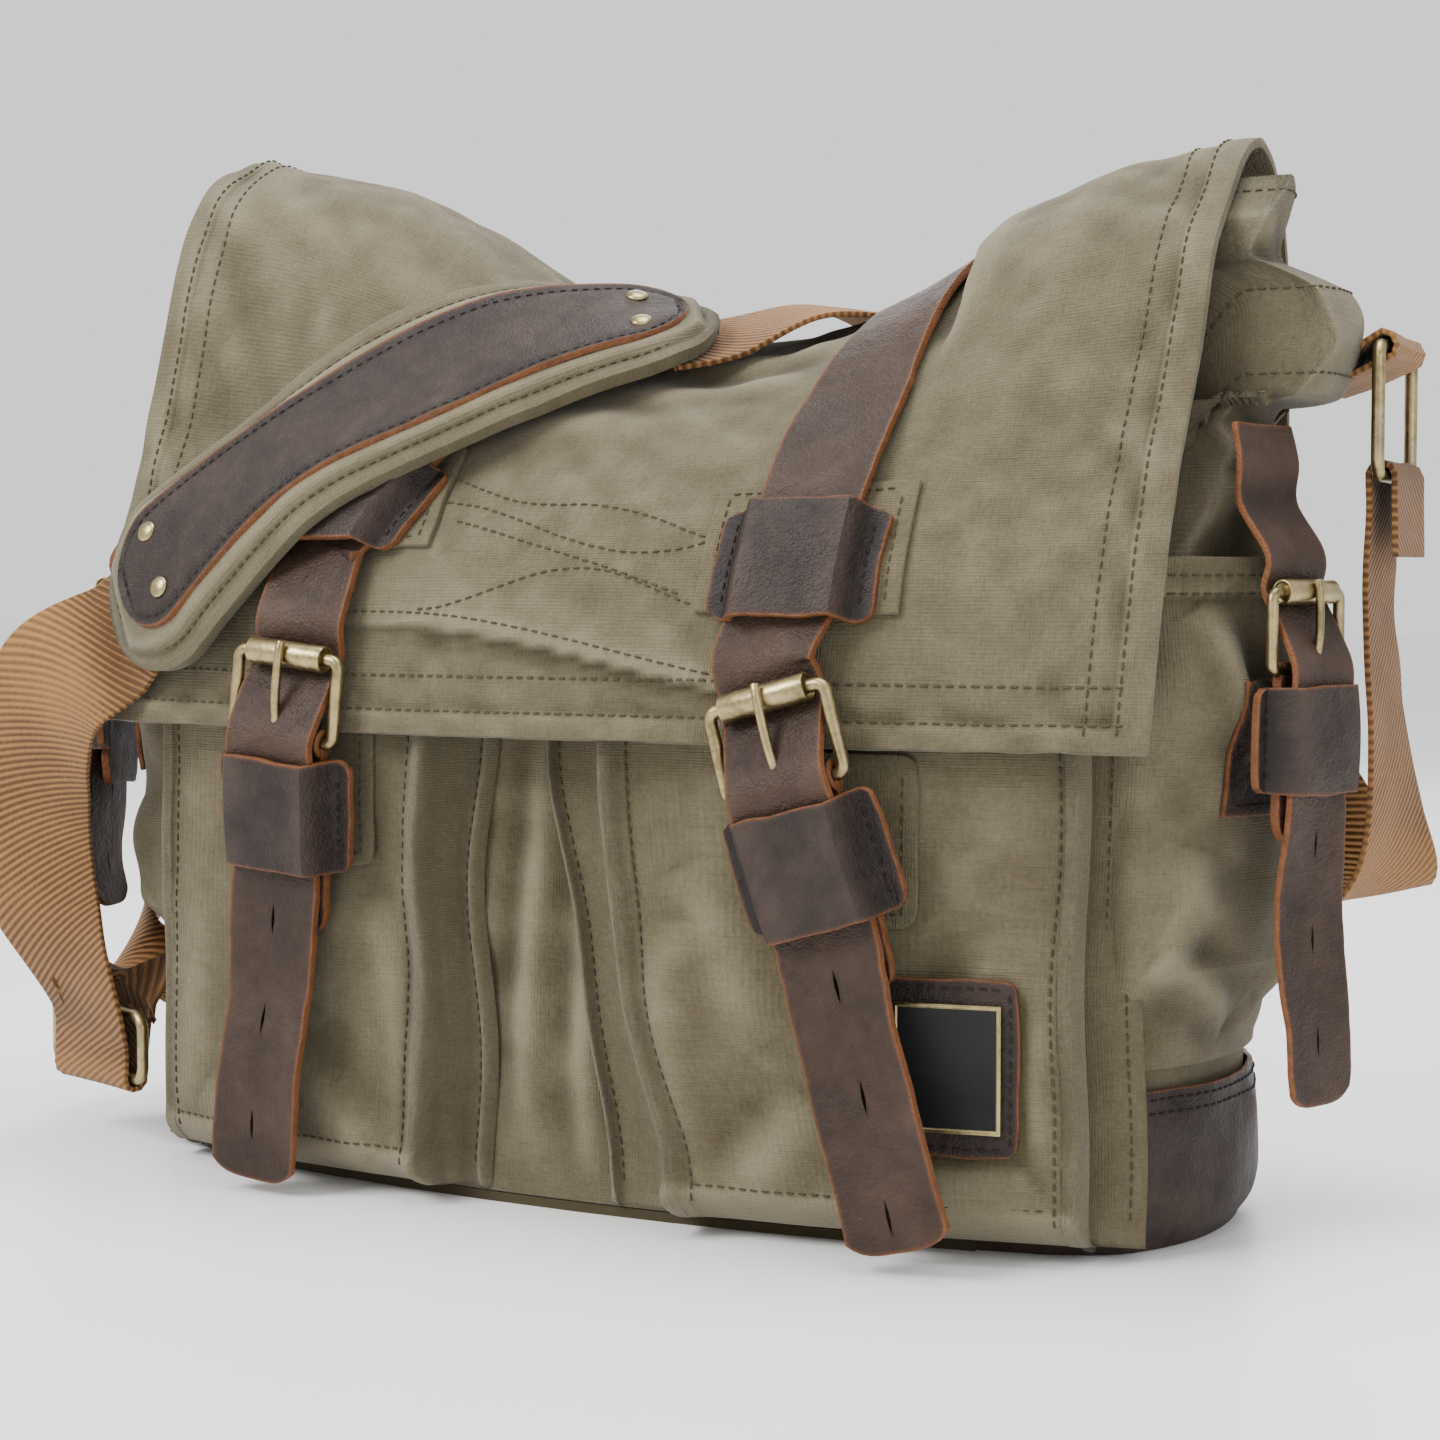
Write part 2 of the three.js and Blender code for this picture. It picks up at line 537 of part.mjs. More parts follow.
for (const [side, spec] of Object.entries(closures)) {
  const frame = closureFrame(
    vec(spec.x, flapPoint(spec.x, 0).y - BUCKLE_CLEAR, spec.z), spec.lean, 0);
  const low = tipped(frame, TAB_TILT);

  // Where the strap lies on the flap above the buckle.
  const leaves = (frame.at(0, BUCKLE_RISE + 12, 0).z - HEM_Z) / 52 + 0.35;
  const keeperU = leaves + spec.keeperRise;
  const onFlap = (u) => mix(spec.keeperX, spec.topX, (u - keeperU) / (spec.top - keeperU));
  const upper = Array.from({ length: 9 }, (_, k) => mix(spec.top, leaves, k / 8))
    .map((u) => flapStation(onFlap(u), u, PATCH + LEATHER / 2 + 5 * GAP));
  const rows = [...upper, ...tailRows(frame, low, spec.drop)];
  const strap = strip(ribbonStation(rows), 54, STRAP_WIDTH, LEATHER);
  const slots = TAIL_SLOTS.map((v) => slotTool(frame, v - 5, v + 5, 2));
  addPiece(`front_strap_${side}`, cut(strap, slotTool(frame, -7, 19, PRONG_SLOT), ...slots),
    LEATHER_FINISH);

  addPiece(`flap_patch_${side}`, sheet((s, t) => flapStation(spec.keeperX + mix(-31, 31, s),
    mix(keeperU - 0.24, keeperU + 0.53, t), PATCH + GAP).centre, 6, 6, PATCH), CANVAS_FINISH);

  // The flap keeper: a band over the strap, its ends down on the patch.
  const bandHalf = KEEPER_HALF + 2;
  const bandRise = (a) => PATCH + 2 * GAP + LEATHER
    + (LEATHER + 6) * smooth(Math.min(Math.max((bandHalf - 1 - Math.abs(a)) / 6, 0), 1));
  addPiece(`flap_keeper_${side}`, sheet((s, t) => {
    const a = mix(-bandHalf, bandHalf, s);
    const u = keeperU + mix(-0.31, 0.31, t);
    return flapStation(onFlap(u) + a, u, bandRise(a)).centre;
  }, 14, 4, LEATHER), DARK_LEATHER_FINISH);

  addPiece(`buckle_frame_${side}`, placed(buckleFrameShape, frame), BRASS_FINISH);
  addPiece(`roller_${side}`, placed(rollerShape(), frame), BRASS_FINISH);
  addPiece(`prong_${side}`, placed(prongShape(), frame), BRASS_FINISH);
  addPiece(`buckle_tab_${side}`, tabPiece(low, TAB_LENGTH), LEATHER_FINISH);
  addPiece(`strap_keeper_${side}`, keeperPiece(low), DARK_LEATHER_FINISH);

  const patchX = frame.at(0, -20, 0).x;
  addPiece(`pocket_patch_${side}`, sheet((s, t) => {
    const x = patchX + mix(-25, 25, s);
    return vec(x, frontFace(x) - POCKET_DEPTH - GAP - PATCH,
      spec.z + mix(-PATCH_LOW, PATCH_HIGH, t));
  }, 6, 2, PATCH), CANVAS_FINISH);
}

// ---- side closures: a strap from under the flap's ear, buckled down on the side pocket ----
const SIDE_AT = 0.42;          // across the side pocket
const SIDE_PIVOT_Z = 170;
const SIDE_BUCKLE_OUT = 11;
const SIDE_TAB_LENGTH = 56;
const SIDE_DROP_RIGHT = 146;
const SIDE_DROP_LEFT = 108;

const pocketHeight = (z) => (z - SIDE_POCKET_LOW) / (SIDE_POCKET_TOP - SIDE_POCKET_LOW);
const sideFoot = sidePocketPoint(SIDE_AT, pocketHeight(SIDE_PIVOT_Z));
const sideAhead = sidePocketPoint(SIDE_AT + 0.01, pocketHeight(SIDE_PIVOT_Z)).sub(sideFoot);
const sideTurn = Math.atan2(sideAhead.y, sideAhead.x);
const sideFrame = closureFrame(
  sideFoot.clone().addScaledVector(vec(Math.sin(sideTurn), -Math.cos(sideTurn), 0),
    SIDE_BUCKLE_OUT), 0, sideTurn);

const gussetS = mix(SIDE_POCKET_FROM, SIDE_POCKET_TO, SIDE_AT);
const sideHang = [[244, 3], [234, 3.5], [222, 7]].map(([z, out]) => ({
  centre: sidePoint(gussetS, z, out), across: sideFrame.across }));

function sideStrap(drop) {
  const rows = [...sideHang, ...tailRows(sideFrame, sideFrame, drop, SIDE_SCALE)];
  const slots = TAIL_SLOTS.filter((v) => v - 12 > -drop)
    .map((v) => slotTool(sideFrame, v - 5, v + 5, 2, SIDE_SCALE));
  return cut(strip(ribbonStation(rows), 40, STRAP_WIDTH * SIDE_SCALE, LEATHER * SIDE_SCALE),
    slotTool(sideFrame, -7, 19, PRONG_SLOT, SIDE_SCALE), ...slots);
}

const backingPoint = (s, t) => sidePocketPoint(SIDE_AT + mix(-0.2, 0.2, s),
  pocketHeight(SIDE_PIVOT_Z + mix(-46, -8, t)), GAP + PATCH);

const sideParts = {
  side_buckle_tab: [tabPiece(sideFrame, SIDE_TAB_LENGTH, SIDE_SCALE), LEATHER_FINISH],
  side_backing: [sheet(backingPoint, 6, 5, PATCH), DARK_LEATHER_FINISH],
  side_keeper: [keeperPiece(sideFrame, SIDE_SCALE), DARK_LEATHER_FINISH],
  side_buckle_frame: [placed(buckleFrameShape, sideFrame, SIDE_SCALE), BRASS_FINISH],
  side_roller: [placed(rollerShape(), sideFrame, SIDE_SCALE), BRASS_FINISH],
  side_prong: [placed(prongShape(), sideFrame, SIDE_SCALE), BRASS_FINISH],
};
addPiece('side_strap_right', sideStrap(SIDE_DROP_RIGHT), LEATHER_FINISH);
addPiece('side_strap_left', mirrored(sideStrap(SIDE_DROP_LEFT)), LEATHER_FINISH);
for (const [name, [geometry, material]] of Object.entries(sideParts)) {
  addPiece(`${name}_right`, geometry, material);
  addPiece(`${name}_left`, mirrored(geometry), material);
}

// ---- strap rings and their anchor tabs ----
const RING_TURN = THREE.MathUtils.degToRad(95);
const RING_AT = vec(BODY_HALF_WIDTH + 47, 36, SIDE_HEIGHT - 22);
const ringFrame = closureFrame(RING_AT, 0, RING_TURN);
const ringHalf = WEB_WIDTH / 2 + 3 + WIRE_RADIUS;
const ring = placed(wireLoop(
  roundedRect(ringHalf, -RING_HEIGHT, 0, 5), WIRE_STEPS, WIRE_RADIUS, WIRE_SIDES), ringFrame);
const loopRadius = WIRE_RADIUS + 3 * GAP + WEBBING / 2;

// Rows of a strip round a bar at height v: up its outer side and down its inner side, or back.
function roundBar(frame, v, fromAngle, toAngle, steps = 6) {
  return Array.from({ length: steps + 1 }, (_, k) => {
    const angle = mix(fromAngle, toAngle, k / steps);
    return { centre: frame.at(0, v + loopRadius * Math.sin(angle), loopRadius * Math.cos(angle)),
      across: frame.across };
  });
}

const anchorRow = ([v, w]) => ({ centre: ringFrame.at(0, v, w), across: ringFrame.across });
const anchorRows = [
  ...[[-12, -17], [-8.5, -10]].map(anchorRow),
  ...roundBar(ringFrame, 0, -0.5 * Math.PI, 0.5 * Math.PI),
  ...[[-1.5, -9], [-6.5, -16]].map(anchorRow)];
const anchorTab = strip(ribbonStation(anchorRows), 30, WEB_WIDTH, WEBBING);
addPiece('anchor_tab_right', anchorTab, WEBBING_FINISH);
addPiece('anchor_tab_left', mirrored(anchorTab), WEBBING_FINISH);
addPiece('strap_ring_right', ring, BRASS_FINISH);
addPiece('strap_ring_left', mirrored(ring), BRASS_FINISH);

// ---- shoulder pad, lying on the flap ----
const PAD_CLEAR = PATCH + 2 * LEATHER + 6 + 4 * GAP;  // over the left flap keeper
const PAD_STEP = 50;           // length of one step up the flap, about
const padRun = [PAD_END[0] - PAD_START[0], (PAD_END[1] - PAD_START[1]) * PAD_STEP];
const padLength = Math.hypot(...padRun);
const padAlong = padRun.map((v) => v / padLength);

// A point over the flap from the pad's own coordinates: along from its start, up across it.
function padPoint(along, up, offset) {
  const x = PAD_START[0] + along * padAlong[0] - up * padAlong[1];
  const u = PAD_START[1] + (along * padAlong[1] + up * padAlong[0]) / PAD_STEP;
  return flapStation(x, u, offset).centre;
}

// A sheet with round ends and its outer face at the given offset.
function padSheet(margin, offset, thickness, along, across) {
  const half = PAD_HALF_WIDTH - margin;
  return sheet((s, t) => {
    const reach = padLength / 2 + half;
    const a = -reach * Math.cos(Math.PI * s) * 0.995;
    const beyond = Math.max(Math.abs(a) - padLength / 2, 0) / half;
    const width = half * Math.sqrt(1 - beyond ** 2);
    return padPoint(padLength / 2 + a, mix(-width, width, t), offset);
  }, along, across, thickness);
}

const padTop = PAD_CLEAR + PAD_THICKNESS;
const padLeatherTop = padTop + 2 * GAP + LEATHER;
addPiece('shoulder_pad', padSheet(0, padTop, PAD_THICKNESS, 26, 4), CANVAS_FINISH);
addPiece('pad_leather', padSheet(PAD_LEATHER_MARGIN, padLeatherTop, LEATHER, 22, 2),
  DARK_LEATHER_FINISH);
const rivetSpread = (PAD_HALF_WIDTH - PAD_LEATHER_MARGIN) * 0.6;
[[-2, 1], [-2, -1], [2, 1], [2, -1]].forEach(([end, side], k) => {
  const along = end < 0 ? -4 : padLength + 4;
  const base = padPoint(along, side * rivetSpread, padLeatherTop + GAP);
  const top = padPoint(along, side * rivetSpread, padLeatherTop + GAP + 1.5);
  const rivet = new THREE.CylinderGeometry(RIVET_RADIUS, RIVET_RADIUS, 1.5, 14);
  rivet.applyQuaternion(new THREE.Quaternion().setFromUnitVectors(vec(0, 1, 0),
    top.clone().sub(base).normalize()));
  rivet.translate(...base.add(top).multiplyScalar(0.5).toArray());
  addPiece(`pad_rivet_${k + 1}`, rivet, BRASS_FINISH);
});

// ---- slider and the two lengths of shoulder webbing ----
const SLIDER_AT = vec(-(BODY_HALF_WIDTH + 28), -54, 24);
const SLIDER_RISE = 22;
const sliderFrame = closureFrame(SLIDER_AT, 0, THREE.MathUtils.degToRad(-20));
addPiece('strap_slider', placed(wireLoop(
  roundedRect(ringHalf, 0, SLIDER_RISE, 5), WIRE_STEPS, WIRE_RADIUS, WIRE_SIDES), sliderFrame),
  BRASS_FINISH);

// A row off the body's sides moves out and in with them.
const BESIDE = BODY_HALF_WIDTH + WEB_WIDTH / 2 - 13;
const freeRow = ([x, y, z], across) => ({ centre: vec(x, y, z), across: vec(...across) });
const padRow = (along, offset) => ({ centre: padPoint(along, 0, offset),
  across: padPoint(along, -10, offset).sub(padPoint(along, 10, offset)).normalize() });
const leftRing = closureFrame(RING_AT.clone().multiply(vec(-1, 1, 1)), 0, -RING_TURN);
const barV = -RING_HEIGHT;
const ringRow = (frame) => ([v, w]) => ({ centre: frame.at(0, v, w), across: frame.across });

const leftRows = [
  ...[[barV - 20, loopRadius + 0.5], [barV - 6, loopRadius]].map(ringRow(leftRing)),
  ...roundBar(leftRing, barV, 0, Math.PI),
  ...[[barV - 10, -loopRadius - 1]].map(ringRow(leftRing)),
  freeRow([-BESIDE - 45, 36, 150], [0, -1, 0]),
  freeRow([-BESIDE - 50, 24, 94], [0.3, -0.95, 0]),
  freeRow([-BESIDE - 42, -12, 54], [0.75, -0.65, 0]),
  ...[[34, -9], [24, -6], [8, -loopRadius]].map(ringRow(sliderFrame)),
  ...roundBar(sliderFrame, 0, Math.PI, 2 * Math.PI),
  ...[[10, loopRadius], [24, loopRadius + 2.5]].map(ringRow(sliderFrame)),
  freeRow([-BESIDE - 26, -72, 86], [0.92, 0.1, -0.2]),
  freeRow([-BESIDE - 23, -82, 122], [0.88, 0.2, -0.35]),
  freeRow([-BESIDE - 5, -92, 158], [0.75, 0, -0.65]),
  ...[-34, -16].map((a) => padRow(a, PAD_CLEAR - 3 * GAP - WEBBING / 2)),
];
addPiece('webbing_left', strip(ribbonStation(leftRows), 72, WEB_WIDTH, WEBBING), WEBBING_FINISH);

const rightRows = [
  ...[padLength + 10, padLength + 30].map((a) => padRow(a, PAD_CLEAR - 3 * GAP - WEBBING / 2)),
  freeRow([46, 24, RIDGE_Z + 22], [0.7, -0.66, -0.2]),
  freeRow([83, SEAM_Y + 18, RIDGE_Z + 12], [0.86, -0.4, 0.25]),
  freeRow([122, SEAM_Y + 18, 222], [0.86, -0.1, 0.5]),
  freeRow([BESIDE - 29, SEAM_Y + 22, 158], [0.86, 0.1, 0.5]),
  freeRow([BESIDE + 3, SEAM_Y + 18, 112], [0.8, 0.5, 0.35]),
  freeRow([BESIDE + 22, 58, 97], [0.6, 0.8, 0.1]),
  freeRow([BESIDE + 33, 46, 112], [0.15, 0.99, 0]),
  freeRow([BESIDE + 35, 38, 150], [-0.05, 1, 0]),
  ...[[barV - 34, -loopRadius], [barV - 8, -loopRadius]].map(ringRow(ringFrame)),
  ...roundBar(ringFrame, barV, Math.PI, 0),
  ...[[barV - 8, loopRadius], [barV - 24, loopRadius + 0.5]].map(ringRow(ringFrame)),
];
addPiece('webbing_right', strip(ribbonStation(rightRows), 72, WEB_WIDTH, WEBBING),
  WEBBING_FINISH);

// ---- label: a leather patch with a blank metal plate ----
const LABEL_AT = [128, 57];
const labelSheet = (halfX, halfZ, offset, thickness) => sheet((s, t) => {
  const x = LABEL_AT[0] + mix(-halfX, halfX, s);
  return vec(x, frontFace(x) - POCKET_DEPTH - offset, LABEL_AT[1] + mix(-halfZ, halfZ, t));
}, 4, 2, thickness);
addPiece('label_patch', labelSheet(19.5, 25, GAP + LEATHER, LEATHER), DARK_LEATHER_FINISH);
addPiece('label_plate', labelSheet(15.5, 18.5, 2 * GAP + LEATHER + 1.2, 1.2), PLATE_FINISH);

export default bag;
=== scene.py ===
import math

import bpy
import numpy as np
from bpy.props import FloatProperty, FloatVectorProperty, PointerProperty
from mathutils import Matrix, Vector


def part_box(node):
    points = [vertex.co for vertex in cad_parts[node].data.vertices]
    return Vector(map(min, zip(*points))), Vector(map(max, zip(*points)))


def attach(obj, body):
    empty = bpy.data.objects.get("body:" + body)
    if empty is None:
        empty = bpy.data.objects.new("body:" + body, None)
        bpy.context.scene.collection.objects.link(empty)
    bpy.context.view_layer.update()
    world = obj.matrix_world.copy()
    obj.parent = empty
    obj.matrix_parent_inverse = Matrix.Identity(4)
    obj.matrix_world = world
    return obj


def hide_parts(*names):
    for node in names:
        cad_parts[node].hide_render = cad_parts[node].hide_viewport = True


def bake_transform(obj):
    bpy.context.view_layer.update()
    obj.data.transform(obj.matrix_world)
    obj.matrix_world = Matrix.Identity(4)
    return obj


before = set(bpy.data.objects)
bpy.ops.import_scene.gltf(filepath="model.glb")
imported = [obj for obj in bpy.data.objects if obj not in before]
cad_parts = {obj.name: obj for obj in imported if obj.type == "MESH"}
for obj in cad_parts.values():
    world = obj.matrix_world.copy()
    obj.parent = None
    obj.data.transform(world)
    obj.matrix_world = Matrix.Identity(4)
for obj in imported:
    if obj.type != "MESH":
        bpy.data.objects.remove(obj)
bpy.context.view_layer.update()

bl_info = {
    "name": "Canvas messenger bag",
    "version": (1, 0, 0),
    "blender": (4, 5, 0),
    "location": "3D Viewport > Sidebar > Bag",
    "description": "Builds a canvas messenger bag with leather straps around a fixed frame",
    "category": "Add Mesh",
}

MM = 0.001


def box_mm(node):
    """Lowest and highest corners of a frame node, in millimetres."""
    low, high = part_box(node)
    return np.array(low) / MM, np.array(high) / MM


FLAP_LOW, FLAP_HIGH = box_mm("flap_panel")
PANEL_LOW, PANEL_HIGH = box_mm("front_panel")
BACK_HIGH = box_mm("back_panel")[1]

# ---- the bag's own lines, in millimetres: +X right, -Y front, +Z up ----
BODY_HALF_WIDTH = 176.0
FRONT_Y = PANEL_LOW[1]
BACK_Y = BACK_HIGH[1]
FRONT_BOW = 22.0
FRONT_HEIGHT = PANEL_HIGH[2]
BACK_HEIGHT = BACK_HIGH[2]
SIDE_HEIGHT = 286.0
SIDE_FLARE = 20.0
CORNER_X = 150.0
FLOOR_GAP = 3.4

FLAP_HALF_WIDTH = FLAP_HIGH[0]
HEM_Y = FLAP_LOW[1]
HEM_Z = 148.0
RIDGE_Z = 272.0
RIDGE_DIP_X = 30.0
EAR_Z_LEFT = 345.0
EAR_Z_RIGHT = 325.0
SEAM_Y = BACK_Y + 4
SEAM_Z = BACK_HEIGHT + 3
FLAP_STEPS = 6
STEP_LENGTH = 50.0          # one step up the flap, about

POCKET_TOP = 158.0
POCKET_DEPTH = 16.0
SIDE_POCKET_LOW = 54.0
SIDE_POCKET_TOP = 202.0
SIDE_POCKET_PUFF = 17.0
SIDE_POCKET_FROM = 0.1
SIDE_POCKET_TO = 0.72
BOOT_HEIGHT = 48.0
BOOT_INNER_X = 128.0
CANVAS = 2.5
LEATHER = 2.4
PATCH = 1.8
WEBBING = 1.8
GAP = 0.4
STITCH_THICKNESS = 0.65
STITCH_LIFT = 0.15          # how far a stitch row lies over its cloth
SEWN_DOWN = -0.5            # height of a keeper's sewn ends, under the middle of the tab

ROLLER_RADIUS = 4.2
ROLLER_HALF = 14.0
BUCKLE_HALF = 19.0
BUCKLE_RISE = 26.0
TAB_HALF = 3.6
OVER_PIVOT = TAB_HALF + LEATHER + GAP
OVER_TAB = (LEATHER + GAP) / 2 + LEATHER + GAP
BEHIND_ROLLER = -(ROLLER_RADIUS + LEATHER / 2 + GAP)
TAIL_SLOTS = (-58.0, -90.0, -124.0)
SIDE_SCALE = 0.85
WEB_WIDTH = 48.0
RING_HEIGHT = 38.0
PAD_START = (-143.0, 0.95)
PAD_END = (-10.0, 3.0)
PAD_HALF_WIDTH = 30.0
LABEL_AT = (128.0, 57.0)    # the label's middle: across and up
RIGHT, LEFT = 1, -1
SIDE_NAME = {RIGHT: "right", LEFT: "left"}


# ---- settings a user would change ----
class BagSizes(bpy.types.PropertyGroup):
    canvas: FloatProperty(name="Canvas", description="Thickness of the lined canvas",
                          default=2.2 * MM, unit="LENGTH", subtype="DISTANCE")
    leather: FloatProperty(name="Leather", description="Thickness of straps and keepers",
                           default=2.4 * MM, unit="LENGTH", subtype="DISTANCE")
    strap_width: FloatProperty(name="Strap width", description="Width of the front straps",
                               default=32 * MM, unit="LENGTH", subtype="DISTANCE")
    wire: FloatProperty(name="Wire", description="Diameter of the buckle and ring wire",
                        default=4 * MM, unit="LENGTH", subtype="DISTANCE")
    stitch: FloatProperty(name="Stitch", description="Length of one stitch",
                          default=2.7 * MM, unit="LENGTH", subtype="DISTANCE")
    stitch_pitch: FloatProperty(name="Stitch pitch", description="From one stitch to the next",
                                default=3.7 * MM, unit="LENGTH", subtype="DISTANCE")
    pad_thickness: FloatProperty(name="Pad", description="Thickness of the shoulder pad",
                                 default=9 * MM, unit="LENGTH", subtype="DISTANCE")


def colour(title, about, value):
    """A colour setting with its default in linear RGB."""
    return FloatVectorProperty(name=title, description=about, default=value, size=3,
                               min=0, max=1, subtype="COLOR")


class BagColours(bpy.types.PropertyGroup):
    canvas: colour("Canvas", "Olive cotton canvas", (0.094, 0.078, 0.045))
    # The folds colour falls in the furrows and the washed colour on the ridges: partly kept dye and
    # washed fade, partly painted shade and painted highlight.
    canvas_deep: colour("Canvas folds", "Canvas that has kept its dye", (0.044, 0.034, 0.017))
    canvas_washed: colour("Washed canvas", "Canvas faded along its seams", (0.165, 0.141, 0.091))
    strap: colour("Straps", "Waxed leather of the straps", (0.021, 0.0110, 0.0070))
    strap_worn: colour("Worn straps", "Rubbed leather of the straps", (0.052, 0.029, 0.019))
    trim: colour("Trim", "Dark leather of keepers, boots and patches", (0.0120, 0.0078, 0.0066))
    trim_worn: colour("Worn trim", "Rubbed dark leather", (0.040, 0.025, 0.0195))
    raw_edge: colour("Raw edge", "Cut edge of the leather", (0.140, 0.052, 0.019))
    webbing: colour("Webbing", "Tan cotton webbing", (0.200, 0.098, 0.034))
    webbing_deep: colour("Webbing ribs", "Between the webbing's ribs", (0.080, 0.036, 0.012))
    brass: colour("Brass", "Antique brass", (0.360, 0.290, 0.145))
    thread: colour("Thread", "Stitching on the canvas", (0.050, 0.040, 0.022))
    leather_thread: colour("Leather thread", "Stitching on the leather", (0.016, 0.010, 0.007))
    plate: colour("Plate", "Dark enamel of the label", (0.006, 0.006, 0.006))


def sizes():
    return bpy.context.scene.bag_sizes


def colours():
    return bpy.context.scene.bag_colours


# ---- numbers and lines: arrays of millimetres ----
def mix(a, b, k):
    return a + (b - a) * k


def smooth(k):
    """From 0 to 1 with soft ends."""
    k = np.clip(k, 0, 1)
    return k * k * (3 - 2 * k)


def bell(d, width):
    return np.exp(-(np.asarray(d, float) / width) ** 2)


def unit(v):
    return v / np.maximum(np.linalg.norm(v, axis=-1, keepdims=True), 1e-9)


def vec(x, y, z):
    return np.stack(np.broadcast_arrays(*(np.asarray(v, float) for v in (x, y, z))), axis=-1)


def spline(rows, u):
    """Points of a smooth line through rows, at u counted in rows."""
    rows = np.asarray(rows, float)
    u = np.asarray(u, float)
    last = len(rows) - 1
    i = np.clip(np.floor(u).astype(int), 0, last - 1)
    f = np.clip(u - i, 0, 1)[..., None]

    def row(k):
        k = np.clip(k, 0, last)
        if rows.ndim == 2:
            return rows[k]
        return np.take_along_axis(rows, k[None, ..., None], axis=0)[0]

    a, b, c, d = row(i - 1), row(i), row(i + 1), row(i + 2)
    into, out = (c - a) / 2, (d - b) / 2
    curve = (2 * b - 2 * c + into + out) * f ** 3 + (3 * c - 3 * b - 2 * into - out) * f ** 2
    return curve + into * f + b


def crumple(x, y, scale, seed):
    """A smooth random height from -1 to 1 with features about scale wide."""
    table = np.random.default_rng(seed).uniform(-1, 1, (64, 64))
    gx, gy = np.asarray(x, float) / scale + 31.3, np.asarray(y, float) / scale + 17.7
    i, j = np.floor(gx).astype(int), np.floor(gy).astype(int)
    fx, fy = smooth(gx - i), smooth(gy - j)

    def knot(di, dj):
        return table[(i + di) % 64, (j + dj) % 64]

    return mix(mix(knot(0, 0), knot(1, 0), fx), mix(knot(0, 1), knot(1, 1), fx), fy)


def crease(x, y, start, end, width, height, furrow=0.5):
    """A soft fold from start to end: a ridge with a furrow on its left, fading at both ends."""
    (x0, y0), (x1, y1) = start, end
    dx, dy = x1 - x0, y1 - y0
    length = math.hypot(dx, dy)
    along = ((x - x0) * dx + (y - y0) * dy) / length ** 2
    aside = ((x - x0) * dy - (y - y0) * dx) / length
    aside = aside + 3 * np.sin(3 * along + 1)
    fade = np.clip(1 - (2 * along - 1) ** 2, 0, 1) ** 0.7
    return height * fade * (bell(aside, width) - furrow * bell(aside + 1.8 * width, 1.2 * width))


def creases(x, y, *folds):
    """The sum of creases, each (start, end, width, height) and, if it has its own, a furrow."""
    return sum(crease(x, y, *fold) for fold in folds)


def mirror_x(surface):
    """The same surface on the bag's other side, with its direction kept facing out."""
    return lambda s, t: surface(1 - s, t) * np.array([-1, 1, 1])


# ---- body lines, as the frame has them ----
def front_line(x):
    return FRONT_Y + FRONT_BOW * (np.asarray(x, float) / BODY_HALF_WIDTH) ** 2


CORNER_Y = float(front_line(CORNER_X))
SIDE_PLAN = [
    (CORNER_X, CORNER_Y),
    (BODY_HALF_WIDTH - 8, CORNER_Y + 10),
    (BODY_HALF_WIDTH + 4, CORNER_Y + 32),
    (BODY_HALF_WIDTH + 8, (FRONT_Y + BACK_Y) / 2 + 12),
    (BODY_HALF_WIDTH + 5, BACK_Y - 22),
    (BODY_HALF_WIDTH - 5, BACK_Y - 5),
    (CORNER_X, BACK_Y),
]


def side_point(s, z, out=0.0):
    """A point of the right gusset: s runs from the front corner round to the back."""
    s, z = np.broadcast_arrays(np.asarray(s, float), np.asarray(z, float))
    u = s * (len(SIDE_PLAN) - 1)
    plan = spline(SIDE_PLAN, u)
    ahead = spline(SIDE_PLAN, np.clip(u + 0.02, 0, 6)) - spline(SIDE_PLAN, np.clip(u - 0.02, 0, 6))
    away = unit(np.stack([ahead[..., 1], -ahead[..., 0]], axis=-1))
    height = np.maximum(z - BOOT_HEIGHT, 0) / (SIDE_HEIGHT - BOOT_HEIGHT)
    flare = SIDE_FLARE * np.sin(np.pi * np.clip(s, 0, 1)) * height ** 1.5
    plan = plan + away * np.asarray(out)[..., None] if np.ndim(out) else plan + away * out
    return vec(plan[..., 0] + flare, plan[..., 1], z)


def side_pocket_point(s, t, out=0.0):
    puff = SIDE_POCKET_PUFF * (1 - (2 * s - 1) ** 4) * np.sin(np.pi * (0.12 + 0.7 * t))
    return side_point(mix(SIDE_POCKET_FROM, SIDE_POCKET_TO, s),
                      mix(SIDE_POCKET_LOW, SIDE_POCKET_TOP, t),
                      GAP + CANVAS + puff * np.minimum(t * 5, 1) + out)


